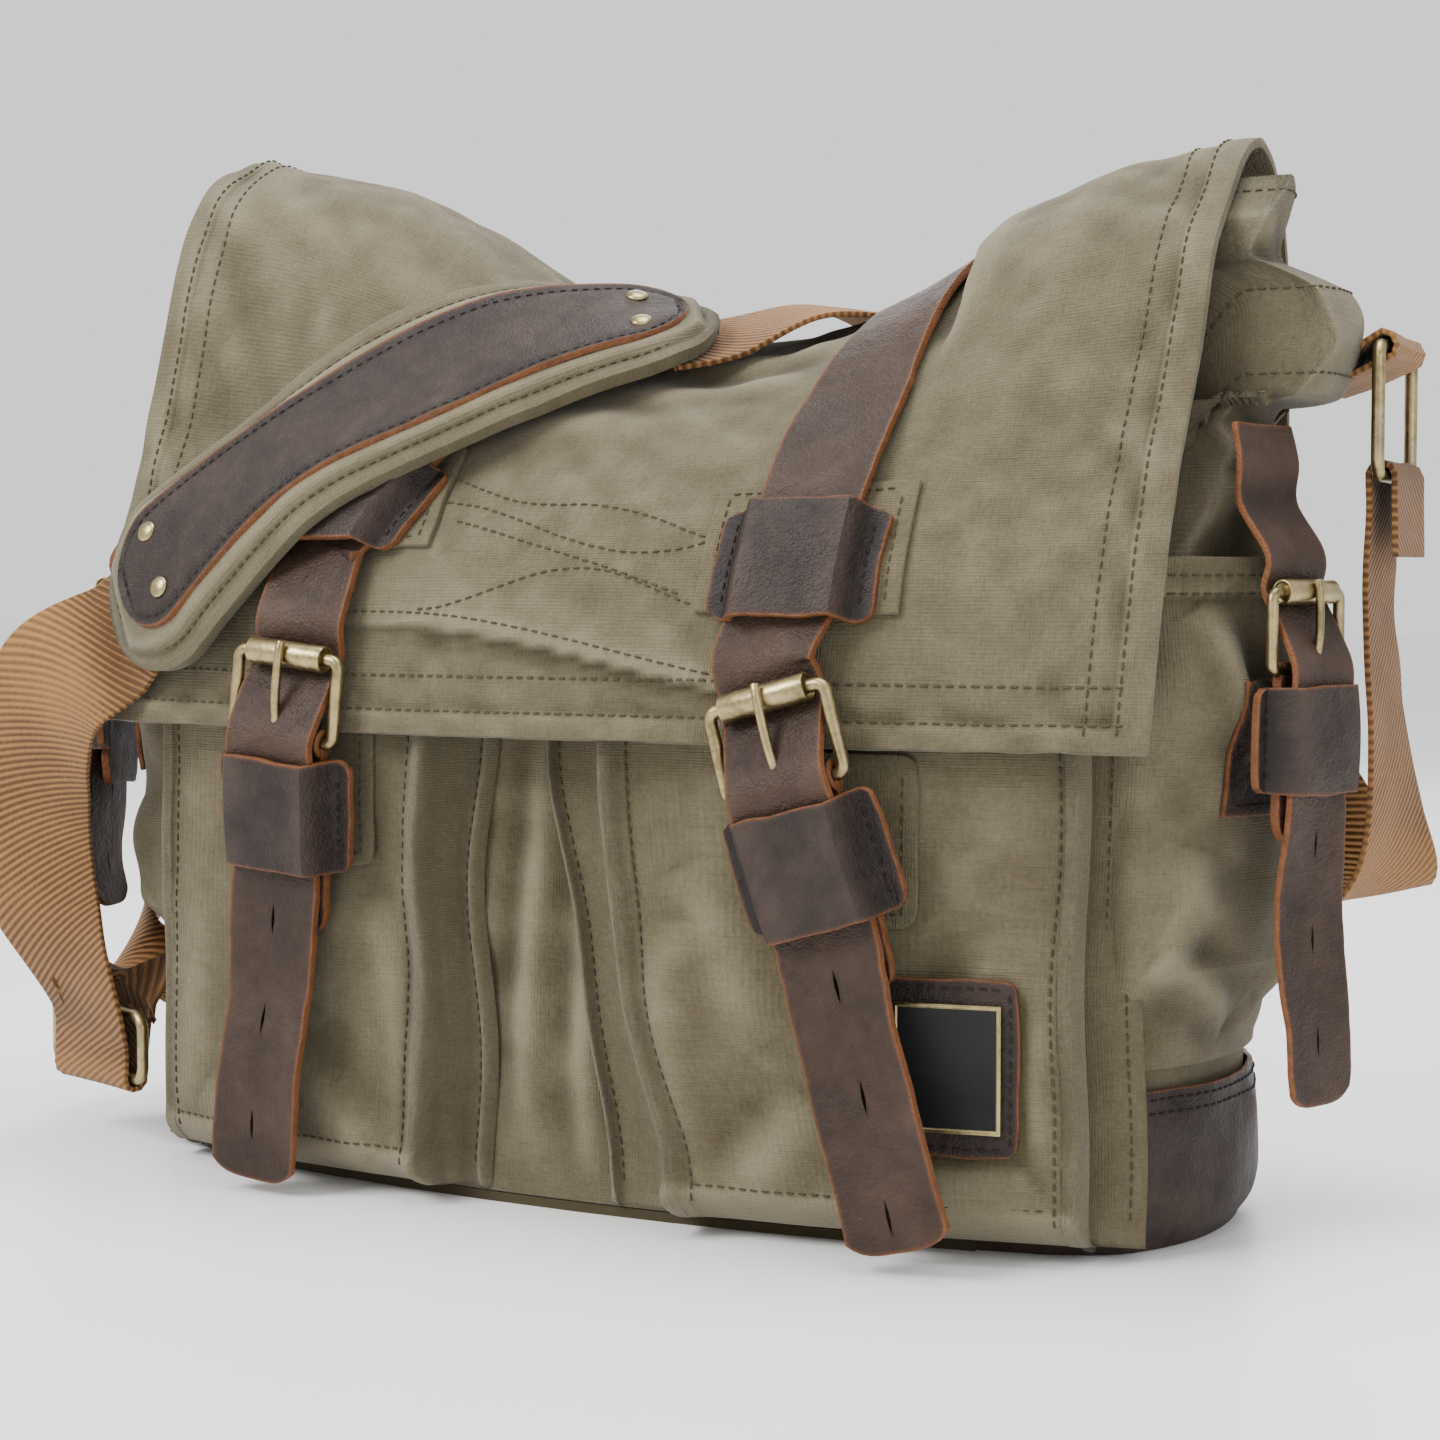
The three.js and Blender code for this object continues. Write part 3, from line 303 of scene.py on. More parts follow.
# ---- flap lines ----
def flap_point(x, u):
    """A point of the flap: x across, and u steps up from the hem over the ridge to the seam."""
    x, u = np.broadcast_arrays(np.asarray(x, float), np.asarray(u, float))
    right = x > RIDGE_DIP_X
    reach = np.where(right, FLAP_HALF_WIDTH - RIDGE_DIP_X, FLAP_HALF_WIDTH + RIDGE_DIP_X)
    rise = smooth(np.abs(x - RIDGE_DIP_X) / reach)
    bow = np.minimum(np.abs(x) / FLAP_HALF_WIDTH, 1) ** 2
    ear = np.where(right, EAR_Z_RIGHT, EAR_Z_LEFT)
    middle = [(HEM_Y, HEM_Z), (HEM_Y + 12, HEM_Z + 52), (HEM_Y + 37, HEM_Z + 88),
              (-20, RIDGE_Z - 12), (26, RIDGE_Z), (46, RIDGE_Z - 12), (SEAM_Y, SEAM_Z)]
    end = [(HEM_Y + 19, HEM_Z), (HEM_Y + 34, HEM_Z + 53), (HEM_Y + 52, HEM_Z + 98),
           (-18, ear - 24), (20, ear), (45, ear - 28), (SEAM_Y, SEAM_Z)]
    weights = [bow, bow, (bow + rise) / 2, rise, rise, rise, rise]
    rows = [np.stack([mix(m[0], e[0], w), mix(m[1], e[1], w)], axis=-1)
            for m, e, w in zip(middle, end, weights)]
    yz = spline(np.stack(rows), u)
    return vec(x, yz[..., 0], yz[..., 1])


CLOSURES = {
    LEFT: {"x": -89.0, "z": 146.0, "lean": math.radians(-6), "drop": 142.0,
           "keeper_x": -77.0, "keeper_rise": 0.34, "top_x": -60.0, "top": 2.2},
    RIGHT: {"x": 87.0, "z": 137.0, "lean": math.radians(15), "drop": 134.0,
            "keeper_x": 82.0, "keeper_rise": 0.15, "top_x": 90.0, "top": 4.75},
}
TUCK_RISE = 0.50            # height of the tuck over the hem, in steps


def tuck_line(x):
    return TUCK_RISE + 0.10 * np.cos((x + 40) / 45) - 0.0012 * (x + 10)


def flap_folds(x, u):
    """Height of the flap's tuck, hem and wash creases over its plain surface."""
    x, u = np.broadcast_arrays(np.asarray(x, float), np.asarray(u, float))
    v = u * STEP_LENGTH
    between = smooth((x + 86) / 12) * smooth((74 - x) / 12)
    over_tuck = (u - tuck_line(x)) * STEP_LENGTH
    tuck = 3.2 * between * smooth(over_tuck / 2.2 + 0.5) * bell(np.maximum(over_tuck, 0), 16)
    loose = smooth((u - 0.9) / 1.5) * smooth((6 - u) / 0.8)
    folds = tuck + 1.2 * np.sin(x / 31 + 0.6) * bell(v, 22)
    folds = folds + creases(
        x, v, ((-62, 92), (44, 122), 9, 2.6), ((-20, 118), (66, 142), 8, 2.8),
        ((4, 146), (76, 172), 9, 3.4), ((14, 196), (96, 214), 11, 4.0),
        ((140, 128), (150, 262), 11, 3.0, 0.3), ((-150, 215), (-60, 232), 12, 3.5),
        ((-128, 250), (-40, 240), 10, 3.0), ((-176, 60), (-166, 190), 10, 1.8))
    folds = folds + 2.6 * loose * crumple(x, v, 46, 3) + 1.1 * loose * crumple(x + v, v, 19, 4)
    folds = folds + 0.45 * crumple(x, v, 9, 5)
    for spec in CLOSURES.values():
        under = bell(x - mix(spec["keeper_x"], spec["top_x"], u / spec["top"]), 24)
        folds = folds * (1 - 0.75 * under * smooth((spec["top"] + 0.4 - u) / 0.5))
    fold_at = 103 + 12 * np.clip((v - 110) / 150, 0, 1)
    aside = x - fold_at
    fade = smooth((v - 118) / 50) * smooth((285 - v) / 22)
    folds = folds + fade * (10.0 * smooth(aside / 4) * bell(np.maximum(aside - 5, 0), 27)
                            - 3.0 * bell(aside + 2, 4))
    edge = np.minimum(FLAP_HALF_WIDTH - np.abs(x), v)
    hem = 0.9 * smooth((11 - edge) / 2.2) + 0.35 * np.sin(v / 5 + x / 5) * bell(edge - 11, 4)
    return folds + hem


def over_flap(x, u, height, low=0):
    """Points at a height over the flap's plain surface."""
    x, u = np.asarray(x, float), np.asarray(u, float)
    beside = flap_point(x + 0.8, u) - flap_point(x - 0.8, u)
    above, below = (np.clip(u + step, low, FLAP_STEPS) for step in (0.02, -0.02))
    normal = unit(np.cross(beside, flap_point(x, above) - flap_point(x, below)))
    return flap_point(x, u) + normal * np.asarray(height)[..., None]


def on_flap(x, u, height):
    """Points over the flap's finished cloth."""
    return over_flap(x, u, flap_folds(x, u) + height)


# ---- buckle frames of reference ----
class Place:
    """A local frame: across the strap, up along it, and out from the bag."""

    def __init__(self, origin, lean, turn):
        swing = Matrix.Rotation(turn, 3, "Z")
        self.origin = np.array(origin, float)
        self.across = np.array(swing @ Vector((math.cos(lean), 0, math.sin(lean))))
        self.out = np.array(swing @ Vector((0, -1, 0)))
        self.up = np.cross(self.out, self.across)

    def at(self, a, v, w):
        a, v, w = (np.asarray(k, float)[..., None] for k in (a, v, w))
        return self.origin + a * self.across + v * self.up + w * self.out

    def tipped(self, angle):
        """The same frame turned about its pivot bar, so that what hangs leans inwards."""
        copy = Place(self.origin, 0, 0)
        turn = Matrix.Rotation(angle, 3, Vector(self.across))
        copy.across = self.across
        copy.out = np.array(turn @ Vector(self.out))
        copy.up = np.cross(copy.out, copy.across)
        return copy


class Ribbon:
    """A path through rows of (centre, across), read by length along, sideways and height."""

    def __init__(self, rows):
        centres = np.array([np.ravel(c) for c, _ in rows])
        sides = np.array([np.ravel(a) for _, a in rows])
        u = np.linspace(0, len(rows) - 1, 30 * len(rows))
        self.line = spline(centres, u)
        step = unit(np.gradient(self.line, axis=0))
        self.out = unit(np.cross(unit(spline(sides, u)), step))
        self.side = unit(np.cross(step, self.out))
        hops = np.linalg.norm(np.diff(self.line, axis=0), axis=1)
        self.travel = np.concatenate([[0], np.cumsum(hops)])
        self.length = self.travel[-1]

    def reach(self, row, count):
        """The length along at which a row of count rows lies."""
        return float(np.interp(row / (count - 1), np.linspace(0, 1, len(self.travel)), self.travel))

    def pick(self, values, along):
        return np.stack([np.interp(along, self.travel, values[:, k]) for k in range(3)], axis=-1)

    def at(self, along, sideways, height):
        along, sideways, height = np.broadcast_arrays(*(
            np.asarray(v, float) for v in (along, sideways, height)))
        return (self.pick(self.line, along) + self.pick(self.side, along) * sideways[..., None]
                + self.pick(self.out, along) * height[..., None])


# ---- making meshes ----
def deselect():
    for item in bpy.context.selected_objects:
        item.select_set(False)


def choose(piece):
    deselect()
    piece.select_set(True)
    bpy.context.view_layer.objects.active = piece


def new_piece(name):
    piece = bpy.context.object
    piece.name = name
    piece.data.name = name
    return piece


def give_attribute(piece, title, values):
    layer = piece.data.attributes.new(title, "FLOAT", "POINT")
    layer.data.foreach_set("value", np.asarray(values, np.float32).ravel())


def wear_and_painted_light_of(points):
    """How far each point of a grid stands above its neighbours, as 0 in furrows to 1 on ridges: the
    finishes paint shade into the furrows and highlight onto the ridges from it, along with wear.
    """
    normal = unit(np.cross(np.gradient(points, axis=1), np.gradient(points, axis=0)))
    total = np.zeros(points.shape[:2])
    for reach, gain in ((1, 0.9), (3, 0.35), (7, 0.10)):
        padded = np.pad(points, ((reach, reach), (reach, reach), (0, 0)), mode="reflect",
                        reflect_type="odd")
        rows, cols = points.shape[:2]
        mean = (padded[:rows, reach:reach + cols] + padded[2 * reach:, reach:reach + cols]
                + padded[reach:reach + rows, :cols] + padded[reach:reach + rows, 2 * reach:]) / 4
        total += gain * np.sum((points - mean) * normal, axis=-1)
    return np.clip(0.5 + total * 0.9, 0, 1)


def cloth_grid(name, surface, columns, rows):
    """A grid shaped by surface(s, t), with a UV map in metres, its edge values and its ridge
    values, which the finishes turn into wear, painted highlight and painted shade.
    """
    deselect()
    bpy.ops.mesh.primitive_grid_add(x_subdivisions=columns, y_subdivisions=rows, size=1)
    piece = new_piece(name)
    mesh = piece.data
    flat = np.empty(len(mesh.vertices) * 3)
    mesh.vertices.foreach_get("co", flat)
    st = flat.reshape(-1, 3)[:, :2] + 0.5
    order = np.lexsort((st[:, 0], st[:, 1]))
    s = np.linspace(0, 1, columns + 1)
    t = np.linspace(0, 1, rows + 1)
    points = surface(*np.meshgrid(s, t))
    width = np.linalg.norm(np.diff(points, axis=1), axis=-1).sum(axis=1).mean()
    height = np.linalg.norm(np.diff(points, axis=0), axis=-1).sum(axis=0).mean()
    placed = np.empty((len(st), 3))
    placed[order] = points.reshape(-1, 3)
    mesh.vertices.foreach_set("co", (placed * MM).ravel())
    # Ridge values: lighter on ridges and darker in furrows, as wear and as painted highlight and
    # painted shade.
    wear, edge = np.empty(len(st)), np.empty(len(st))
    wear[order] = wear_and_painted_light_of(points).ravel()
    ss, tt = np.meshgrid(s, t)
    border = np.minimum(np.minimum(ss, 1 - ss) * width, np.minimum(tt, 1 - tt) * height)
    edge[order] = np.clip(1 - border / 1.6, 0, 1).ravel()
    give_attribute(piece, "wear", wear)
    give_attribute(piece, "edge", edge)
    scale_uv(piece, width * MM, height * MM)
    mesh.update()
    return piece


def scale_uv(piece, width, height):
    layer = piece.data.uv_layers.active.data
    flat = np.empty(len(layer) * 2)
    layer.foreach_get("uv", flat)
    layer.foreach_set("uv", (flat.reshape(-1, 2) * (width, height)).ravel())


def apply_modifiers(piece):
    choose(piece)
    for modifier in list(piece.modifiers):
        bpy.ops.object.modifier_apply(modifier=modifier.name)


def thicken(piece, thickness, offset=-1.0, bevel=0.45):
    """Gives a grid its wall and a softened rim."""
    wall = piece.modifiers.new("wall", "SOLIDIFY")
    wall.thickness = thickness
    wall.offset = offset
    wall.use_even_offset = False
    wall.use_rim = True
    if bevel:
        rim = piece.modifiers.new("rim", "BEVEL")
        rim.width = bevel * MM
        rim.segments = 2
        rim.limit_method = "ANGLE"
        rim.angle_limit = math.radians(50)
        rim.use_clamp_overlap = True
    apply_modifiers(piece)


def cut_with(piece, tools):
    """Cuts holes through a piece with closed tool meshes."""
    for tool in tools:
        hole = piece.modifiers.new("hole", "BOOLEAN")
        hole.operation = "DIFFERENCE"
        hole.object = tool
        hole.solver = "EXACT"
        apply_modifiers(piece)
        bpy.data.objects.remove(tool)


def slit(place, v, length, width, size=1.0):
    """A tool for a pointed slit through a strap."""
    deselect()
    bpy.ops.mesh.primitive_cylinder_add(vertices=16, radius=0.5, depth=1)
    tool = bpy.context.object
    for corner in tool.data.vertices:
        a, b, w = corner.co
        taper = 1 - 0.75 * abs(2 * b) ** 1.5
        point = place.at(a * width * taper * 2 * size, (v + b * length) * size, w * 26)
        corner.co = Vector(point * MM)
    fix_normals(tool)
    return tool


def fix_normals(piece):
    choose(piece)
    bpy.ops.object.mode_set(mode="EDIT")
    bpy.ops.mesh.select_all(action="SELECT")
    bpy.ops.mesh.remove_doubles(threshold=1e-6)
    bpy.ops.mesh.normals_make_consistent(inside=False)
    bpy.ops.object.mode_set(mode="OBJECT")


def finish(piece, look, body, *nodes, sharp=40, slot=None):
    """Smooths a piece, gives it its finish and ties it to the frame; a bent piece has no body."""
    choose(piece)
    bpy.ops.object.shade_smooth_by_angle(angle=math.radians(sharp))
    piece.data.materials.clear()
    piece.data.materials.append(finish_named(look))
    if body:
        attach(piece, body)
    if nodes:
        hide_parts(*nodes)
    return piece


def cloth_piece(name, surface, columns, rows, wall, look, body, node, bevel=0.45):
    """A finished grid with its wall in millimetres, in place of one frame node."""
    piece = cloth_grid(name, surface, columns, rows)
    thicken(piece, wall * MM, bevel=bevel)
    return finish(piece, look, body, node)


def select_faces(piece, wanted):
    """Enters edit mode with only the faces selected for which wanted(face) is true."""
    choose(piece)
    bpy.ops.object.mode_set(mode="EDIT")
    bpy.ops.mesh.select_mode(type="FACE")
    bpy.ops.mesh.select_all(action="DESELECT")
    bpy.ops.object.mode_set(mode="OBJECT")
    for face in piece.data.polygons:
        face.select = bool(wanted(face))
    bpy.ops.object.mode_set(mode="EDIT")


def sunk_faces(piece, inset, depth, bevel):
    """Sinks the selected faces inside a border and softens the edges, all in millimetres."""
    bpy.ops.mesh.inset(thickness=inset * MM)
    bpy.ops.mesh.extrude_region_shrink_fatten(TRANSFORM_OT_shrink_fatten={"value": -depth * MM})
    bpy.ops.object.mode_set(mode="OBJECT")
    rim = piece.modifiers.new("rim", "BEVEL")
    rim.width = bevel * MM
    rim.segments = 2
    rim.limit_method = "ANGLE"
    apply_modifiers(piece)


def round_bar(name, line, radius, closed=True):
    """A round bar of even thickness along a line of points."""
    deselect()
    curve = bpy.data.curves.new(name, "CURVE")
    curve.dimensions = "3D"
    curve.bevel_depth = radius * MM
    curve.bevel_resolution = 4
    curve.use_fill_caps = not closed
    spline_data = curve.splines.new("POLY")
    spline_data.points.add(len(line) - 1)
    for knot, point in zip(spline_data.points, line):
        knot.co = (*(np.ravel(point) * MM), 1)
    spline_data.use_cyclic_u = closed
    piece = bpy.data.objects.new(name, curve)
    bpy.context.collection.objects.link(piece)
    choose(piece)
    bpy.ops.object.convert(target="MESH")
    piece = new_piece(name)
    fix_normals(piece)
    return piece


def rounded_loop(half, low, high, corner):
    """Points of a rounded rectangle, in a frame's across and up."""
    line = []
    centres = ((half - corner, low + corner, -90), (half - corner, high - corner, 0),
               (-half + corner, high - corner, 90), (-half + corner, low + corner, 180))
    for cx, cy, start in centres:
        for turn in np.linspace(0, 90, 8):
            angle = math.radians(start + turn)
            line.append((cx + corner * math.cos(angle), cy + corner * math.sin(angle)))
    return line


# ---- stitching ----
def stitch_shape():
    """Points and faces of one stitch, along +X, as a low bead with its ends in the cloth."""
    rings, sides = ((-0.5, 0.28, -0.55), (-0.28, 0.5, 0.2), (0.28, 0.5, 0.2), (0.5, 0.28, -0.55)), 6
    points, faces = [], []
    for x, r, lift in rings:
        for k in range(sides):
            angle = 2 * math.pi * k / sides
            points.append((x, r * math.cos(angle), lift + r * math.sin(angle)))
    for ring in range(len(rings) - 1):
        for k in range(sides):
            a, b = ring * sides + k, ring * sides + (k + 1) % sides
            faces.append((a, a + sides, b + sides, b))
    last = (len(rings) - 1) * sides
    faces.append(tuple(range(sides)))
    faces.append(tuple(last + k for k in reversed(range(sides))))
    return np.array(points), faces


def sewn(name, rows, body, thread="thread"):
    """Stitches along rows of (points, normals), joined as one piece that goes with a body."""
    length, pitch = sizes().stitch / MM, sizes().stitch_pitch / MM
    shape, shape_faces = stitch_shape()
    points, faces = [], []
    for line, normals in rows:
        hops = np.linalg.norm(np.diff(line, axis=0), axis=1)
        travel = np.concatenate([[0], np.cumsum(hops)])

        def read(values, along):
            return np.array([np.interp(along, travel, values[:, c]) for c in range(3)])

        for k in range(int(travel[-1] / pitch)):
            middle = (k + 0.5) * pitch
            tail, head = read(line, middle - length / 2), read(line, middle + length / 2)
            out = unit(read(normals, middle))
            ahead = unit(head - tail)
            side = unit(np.cross(out, ahead))
            bead = (shape[:, :1] * ahead * length + shape[:, 1:2] * side * STITCH_THICKNESS
                    + shape[:, 2:] * out * STITCH_THICKNESS)
            start = len(points)
            points.extend(((tail + head) / 2 + bead) * MM)
            faces.extend(tuple(start + i for i in face) for face in shape_faces)
    mesh = bpy.data.meshes.new(name)
    mesh.from_pydata([tuple(p) for p in points], [], faces)
    piece = bpy.data.objects.new(name, mesh)
    bpy.context.collection.objects.link(piece)
    fix_normals(piece)
    return finish(piece, thread, body)


def row_on(surface, s, t):
    """A stitch row over a surface of s and t: its points and normals."""
    s, t = np.broadcast_arrays(np.asarray(s, float), np.asarray(t, float))
    (s_low, s_high), (t_low, t_high) = ((np.clip(k - 0.004, 0, 1), np.clip(k + 0.004, 0, 1))
                                        for k in (s, t))
    normal = unit(np.cross(surface(s_high, t) - surface(s_low, t),
                           surface(s, t_high) - surface(s, t_low)))
    return surface(s, t) + normal * STITCH_LIFT, normal


def flap_row(x, u):
    """A stitch row over the flap's finished cloth."""
    x, u = np.broadcast_arrays(np.asarray(x, float), np.asarray(u, float))
    base = on_flap(x, u, STITCH_LIFT)
    return base, unit(on_flap(x, u, STITCH_LIFT + 1.0) - base)


# ---- finishes ----
class Finish:
    """A material under construction, made of shader nodes."""

    def __init__(self, name, roughness, metallic=0.0, sheen=0.0):
        self.material = bpy.data.materials.new(name)
        self.material.use_nodes = True
        self.tree = self.material.node_tree
        self.shader = self.tree.nodes["Principled BSDF"]
        self.shader.inputs["Roughness"].default_value = roughness
        self.shader.inputs["Metallic"].default_value = metallic
        self.shader.inputs["Sheen Weight"].default_value = sheen
        self.shader.inputs["Sheen Roughness"].default_value = 0.45
        self.shader.inputs["Specular IOR Level"].default_value = 0.5 if metallic else 0.22
        self.coordinates = self.node("ShaderNodeTexCoord")

    def node(self, kind, **values):
        made = self.tree.nodes.new(kind)
        for title, value in values.items():
            if title in made.inputs:
                made.inputs[title].default_value = value
            else:
                setattr(made, title, value)
        return made

    def link(self, source, target):
        self.tree.links.new(source, target)

    def noise(self, scale, detail=3.0, stretch=None, coordinate="Object"):
        """A noise value with about scale features to the metre, drawn out along an axis."""
        made = self.node("ShaderNodeTexNoise", Scale=scale, Detail=detail, Roughness=0.55)
        source = self.coordinates.outputs[coordinate]
        if stretch:
            mapping = self.node("ShaderNodeMapping", Scale=stretch)
            self.link(source, mapping.inputs["Vector"])
            source = mapping.outputs["Vector"]
        self.link(source, made.inputs["Vector"])
        return made.outputs["Fac"]

    def waves(self, period, turn=0.0, distortion=0.0):
        """Even bands of the given period in metres across the UV map, turned by an angle."""
        mapping = self.node("ShaderNodeMapping", Rotation=(0, 0, turn))
        self.link(self.coordinates.outputs["UV"], mapping.inputs["Vector"])
        made = self.node("ShaderNodeTexWave", Scale=math.pi / 10 / period, Distortion=distortion)
        self.link(mapping.outputs["Vector"], made.inputs["Vector"])
        return made.outputs["Fac"]

    def attribute(self, title):
        return self.node("ShaderNodeAttribute", attribute_name=title).outputs["Fac"]

    def sum(self, *terms):
        """The weighted sum of (socket, weight) pairs, about a middle of 0.5."""
        total = None
        for socket, weight in terms:
            scaled = self.node("ShaderNodeMath", operation="MULTIPLY_ADD")
            self.link(socket, scaled.inputs[0])
            scaled.inputs[1].default_value = weight
            scaled.inputs[2].default_value = 0.5 - 0.5 * weight if total is None else -0.5 * weight
            if total is None:
                total = scaled.outputs[0]
            else:
                added = self.node("ShaderNodeMath", operation="ADD")
                self.link(total, added.inputs[0])
                self.link(scaled.outputs[0], added.inputs[1])
                total = added.outputs[0]
        return total

    def ramp(self, value, *stops):
        """Colours over a value, as (place, colour) stops."""
        made = self.node("ShaderNodeValToRGB")
        elements = made.color_ramp.elements
        while len(elements) < len(stops):
            elements.new(0.5)
        for element, (place, shade) in zip(elements, stops):
            element.position = place
            element.color = (*shade, 1)
        self.link(value, made.inputs["Fac"])
        return made.outputs["Color"]

    def blend_over(self, base, layer, amount):
        made = self.node("ShaderNodeMix", data_type="RGBA", blend_type="MIX")
        for socket, value in ((made.inputs[0], amount), (made.inputs[6], base),
                              (made.inputs[7], layer)):
            if isinstance(value, bpy.types.NodeSocket):
                self.link(value, socket)
            else:
                socket.default_value = value
        return made.outputs[2]

    def spread(self, value, low, high):
        made = self.node("ShaderNodeMapRange")
        made.inputs["To Min"].default_value = low
        made.inputs["To Max"].default_value = high
        self.link(value, made.inputs["Value"])
        return made.outputs["Result"]

    def bump(self, *layers):
        """Stacks (height, depth in metres) layers of relief."""
        normal = None
        for height, depth in layers:
            made = self.node("ShaderNodeBump", Strength=1.0, Distance=depth)
            self.link(height, made.inputs["Height"])
            if normal:
                self.link(normal, made.inputs["Normal"])
            normal = made.outputs["Normal"]
        self.link(normal, self.shader.inputs["Normal"])

    def colour(self, socket):
        self.link(socket, self.shader.inputs["Base Color"])
        return self.material

    def roughness(self, socket):
        self.link(socket, self.shader.inputs["Roughness"])


def washed_canvas():
    """Olive cotton canvas: woven threads, darker in the furrows and lighter on the ridges, partly
    washed fade and partly painted shade and painted highlight.
    """
    tone = colours()
    cloth = Finish("washed_canvas", 0.93, sheen=0.12)
    warp = cloth.noise(1.0, 2, (1500, 170, 1), "UV")
    weft = cloth.noise(1.0, 2, (170, 1500, 1), "UV")
    # The ridge value paints shade into the furrows and highlight onto the ridges, along with the
    # washed fade.
    fade = cloth.sum((cloth.attribute("wear"), 0.8), (cloth.noise(26, 4), 0.26),
                     (cloth.noise(120, 3), 0.24), (cloth.noise(900, 2), 0.3), (warp, 0.2),
                     (weft, 0.2))
    base = cloth.ramp(fade, (0.14, tone.canvas_deep), (0.5, tone.canvas),
                      (0.92, tone.canvas_washed))
    cloth.bump((warp, 0.00028), (weft, 0.00028), (cloth.waves(0.0009), 0.00008),
               (cloth.waves(0.0009, math.pi / 2), 0.00008), (cloth.noise(420, 2), 0.0002))
    return cloth.colour(base)


def waxed_leather(kind):
    """Oiled leather: cloudy tone, fine grain, rubbed places, painted highlight on ridges and
    painted shade in furrows, and a raw orange edge.
    """
    tone = colours()
    dark, worn = (tuple(getattr(tone, title)) for title in (kind, f"{kind}_worn"))
    hide = Finish(f"{kind}_leather", 0.5)
    # The ridge value adds rubbed wear with painted highlight on the ridges and painted shade in the
    # furrows.
    cloudy = hide.sum((hide.noise(38, 5), 1.5), (hide.noise(190, 4), 0.7),
                      (hide.attribute("wear"), 0.6))
    between = tuple(mix(np.array(dark), np.array(worn), 0.45))
    base = hide.ramp(cloudy, (0.25, dark), (0.62, between), (0.95, worn))
    rim = hide.node("ShaderNodeMath", operation="POWER")
    rim.inputs[1].default_value = 3.0
    hide.link(hide.attribute("edge"), rim.inputs[0])
    edge = hide.node("ShaderNodeMath", operation="MULTIPLY", use_clamp=True)
    hide.link(rim.outputs[0], edge.inputs[0])
    hide.link(hide.spread(hide.noise(260, 3), 0.1, 1.7), edge.inputs[1])
    base = hide.blend_over(base, (*tone.raw_edge, 1), edge.outputs[0])
    pores = hide.node("ShaderNodeTexVoronoi", Scale=1150.0)
    hide.link(hide.coordinates.outputs["Object"], pores.inputs["Vector"])
    hide.bump((pores.outputs["Distance"], 0.00022), (hide.noise(520, 4), 0.00035),
              (hide.noise(75, 3), 0.0012))
    hide.roughness(hide.spread(hide.noise(90, 4), 0.36, 0.72))
    return hide.colour(base)


def ribbed_webbing():
    """Tan cotton webbing with slanting ribs."""
    tone = colours()
    web = Finish("ribbed_webbing", 0.88, sheen=0.1)
    rib = web.waves(0.0023, math.radians(62), 0.15)
    thread = web.noise(1.0, 2, (1100, 300, 1), "UV")
    # The ridge value paints highlight onto the ridges and shade into the furrows of the webbing,
    # along with wear.
    value = web.sum((rib, 0.75), (thread, 0.5), (web.noise(40, 4), 0.5),
                    (web.attribute("wear"), 0.6))
    base = web.ramp(value, (0.15, tone.webbing_deep), (0.62, tone.webbing),
                    (1.0, tuple(v * 1.35 for v in tone.webbing)))
    web.bump((rib, 0.0006), (thread, 0.0003))
    return web.colour(base)


def antique_brass():
    """Drawn brass with a light patina."""
    metal = Finish("antique_brass", 0.3, metallic=1.0)
    tone = tuple(colours().brass)
    patina = metal.sum((metal.noise(150, 4), 1.2), (metal.noise(900, 2), 0.5))
    base = metal.ramp(patina, (0.2, tuple(v * 0.45 for v in tone)), (0.6, tone),
                      (1.0, tuple(min(v * 1.4, 1) for v in tone)))
    metal.bump((metal.noise(700, 3), 0.0001),)
    metal.roughness(metal.spread(metal.noise(220, 3), 0.22, 0.5))
    return metal.colour(base)


def sewing_thread(name, shade):
    """Twisted cotton thread."""
    twist = Finish(name, 0.75)
    value = twist.noise(900, 2)
    return twist.colour(twist.ramp(value, (0.3, tuple(v * 0.7 for v in shade)),
                                   (0.7, tuple(v * 1.3 for v in shade))))


def dark_plate():
    metal = Finish("dark_plate", 0.35, metallic=0.6)
    value = metal.noise(60, 3)
    metal.roughness(metal.spread(value, 0.25, 0.5))
    shade = tuple(colours().plate)
    return metal.colour(metal.ramp(value, (0.3, shade), (0.8, tuple(v * 2.2 for v in shade))))


FINISHES = {}


def finish_named(name):
    """The bag's finishes, each made once."""
    if name not in FINISHES:
        tone = colours()
        makers = {
            "canvas": washed_canvas,
            "strap": lambda: waxed_leather("strap"),
            "trim": lambda: waxed_leather("trim"),
            "webbing": ribbed_webbing,
            "brass": antique_brass,
            "thread": lambda: sewing_thread("canvas_thread", tuple(tone.thread)),
            "leather_thread": lambda: sewing_thread("leather_thread", tuple(tone.leather_thread)),
            "plate": dark_plate,
        }
        FINISHES[name] = makers[name]()
    return FINISHES[name]


# ---- the body: panels, gussets and boots ----
def panel_point(s, t):
    """The front panel's cloth between the gussets, with a slack middle."""
    x = mix(-CORNER_X, CORNER_X, s) * 0.984
    z = mix(FLOOR_GAP, FRONT_HEIGHT, t)
    slack = 2.2 * np.sin(np.pi * t) * crumple(x, z, 38, 11) + 1.0 * crumple(x, z, 14, 12)
    slack = slack + creases(x, z, ((-16, 20), (-14, 150), 5, 2.2), ((8, 8), (2, 120), 5, 2.0))
    return vec(x, front_line(x) - 0.4 - slack * (1 - bell(t, 0.04)), z)


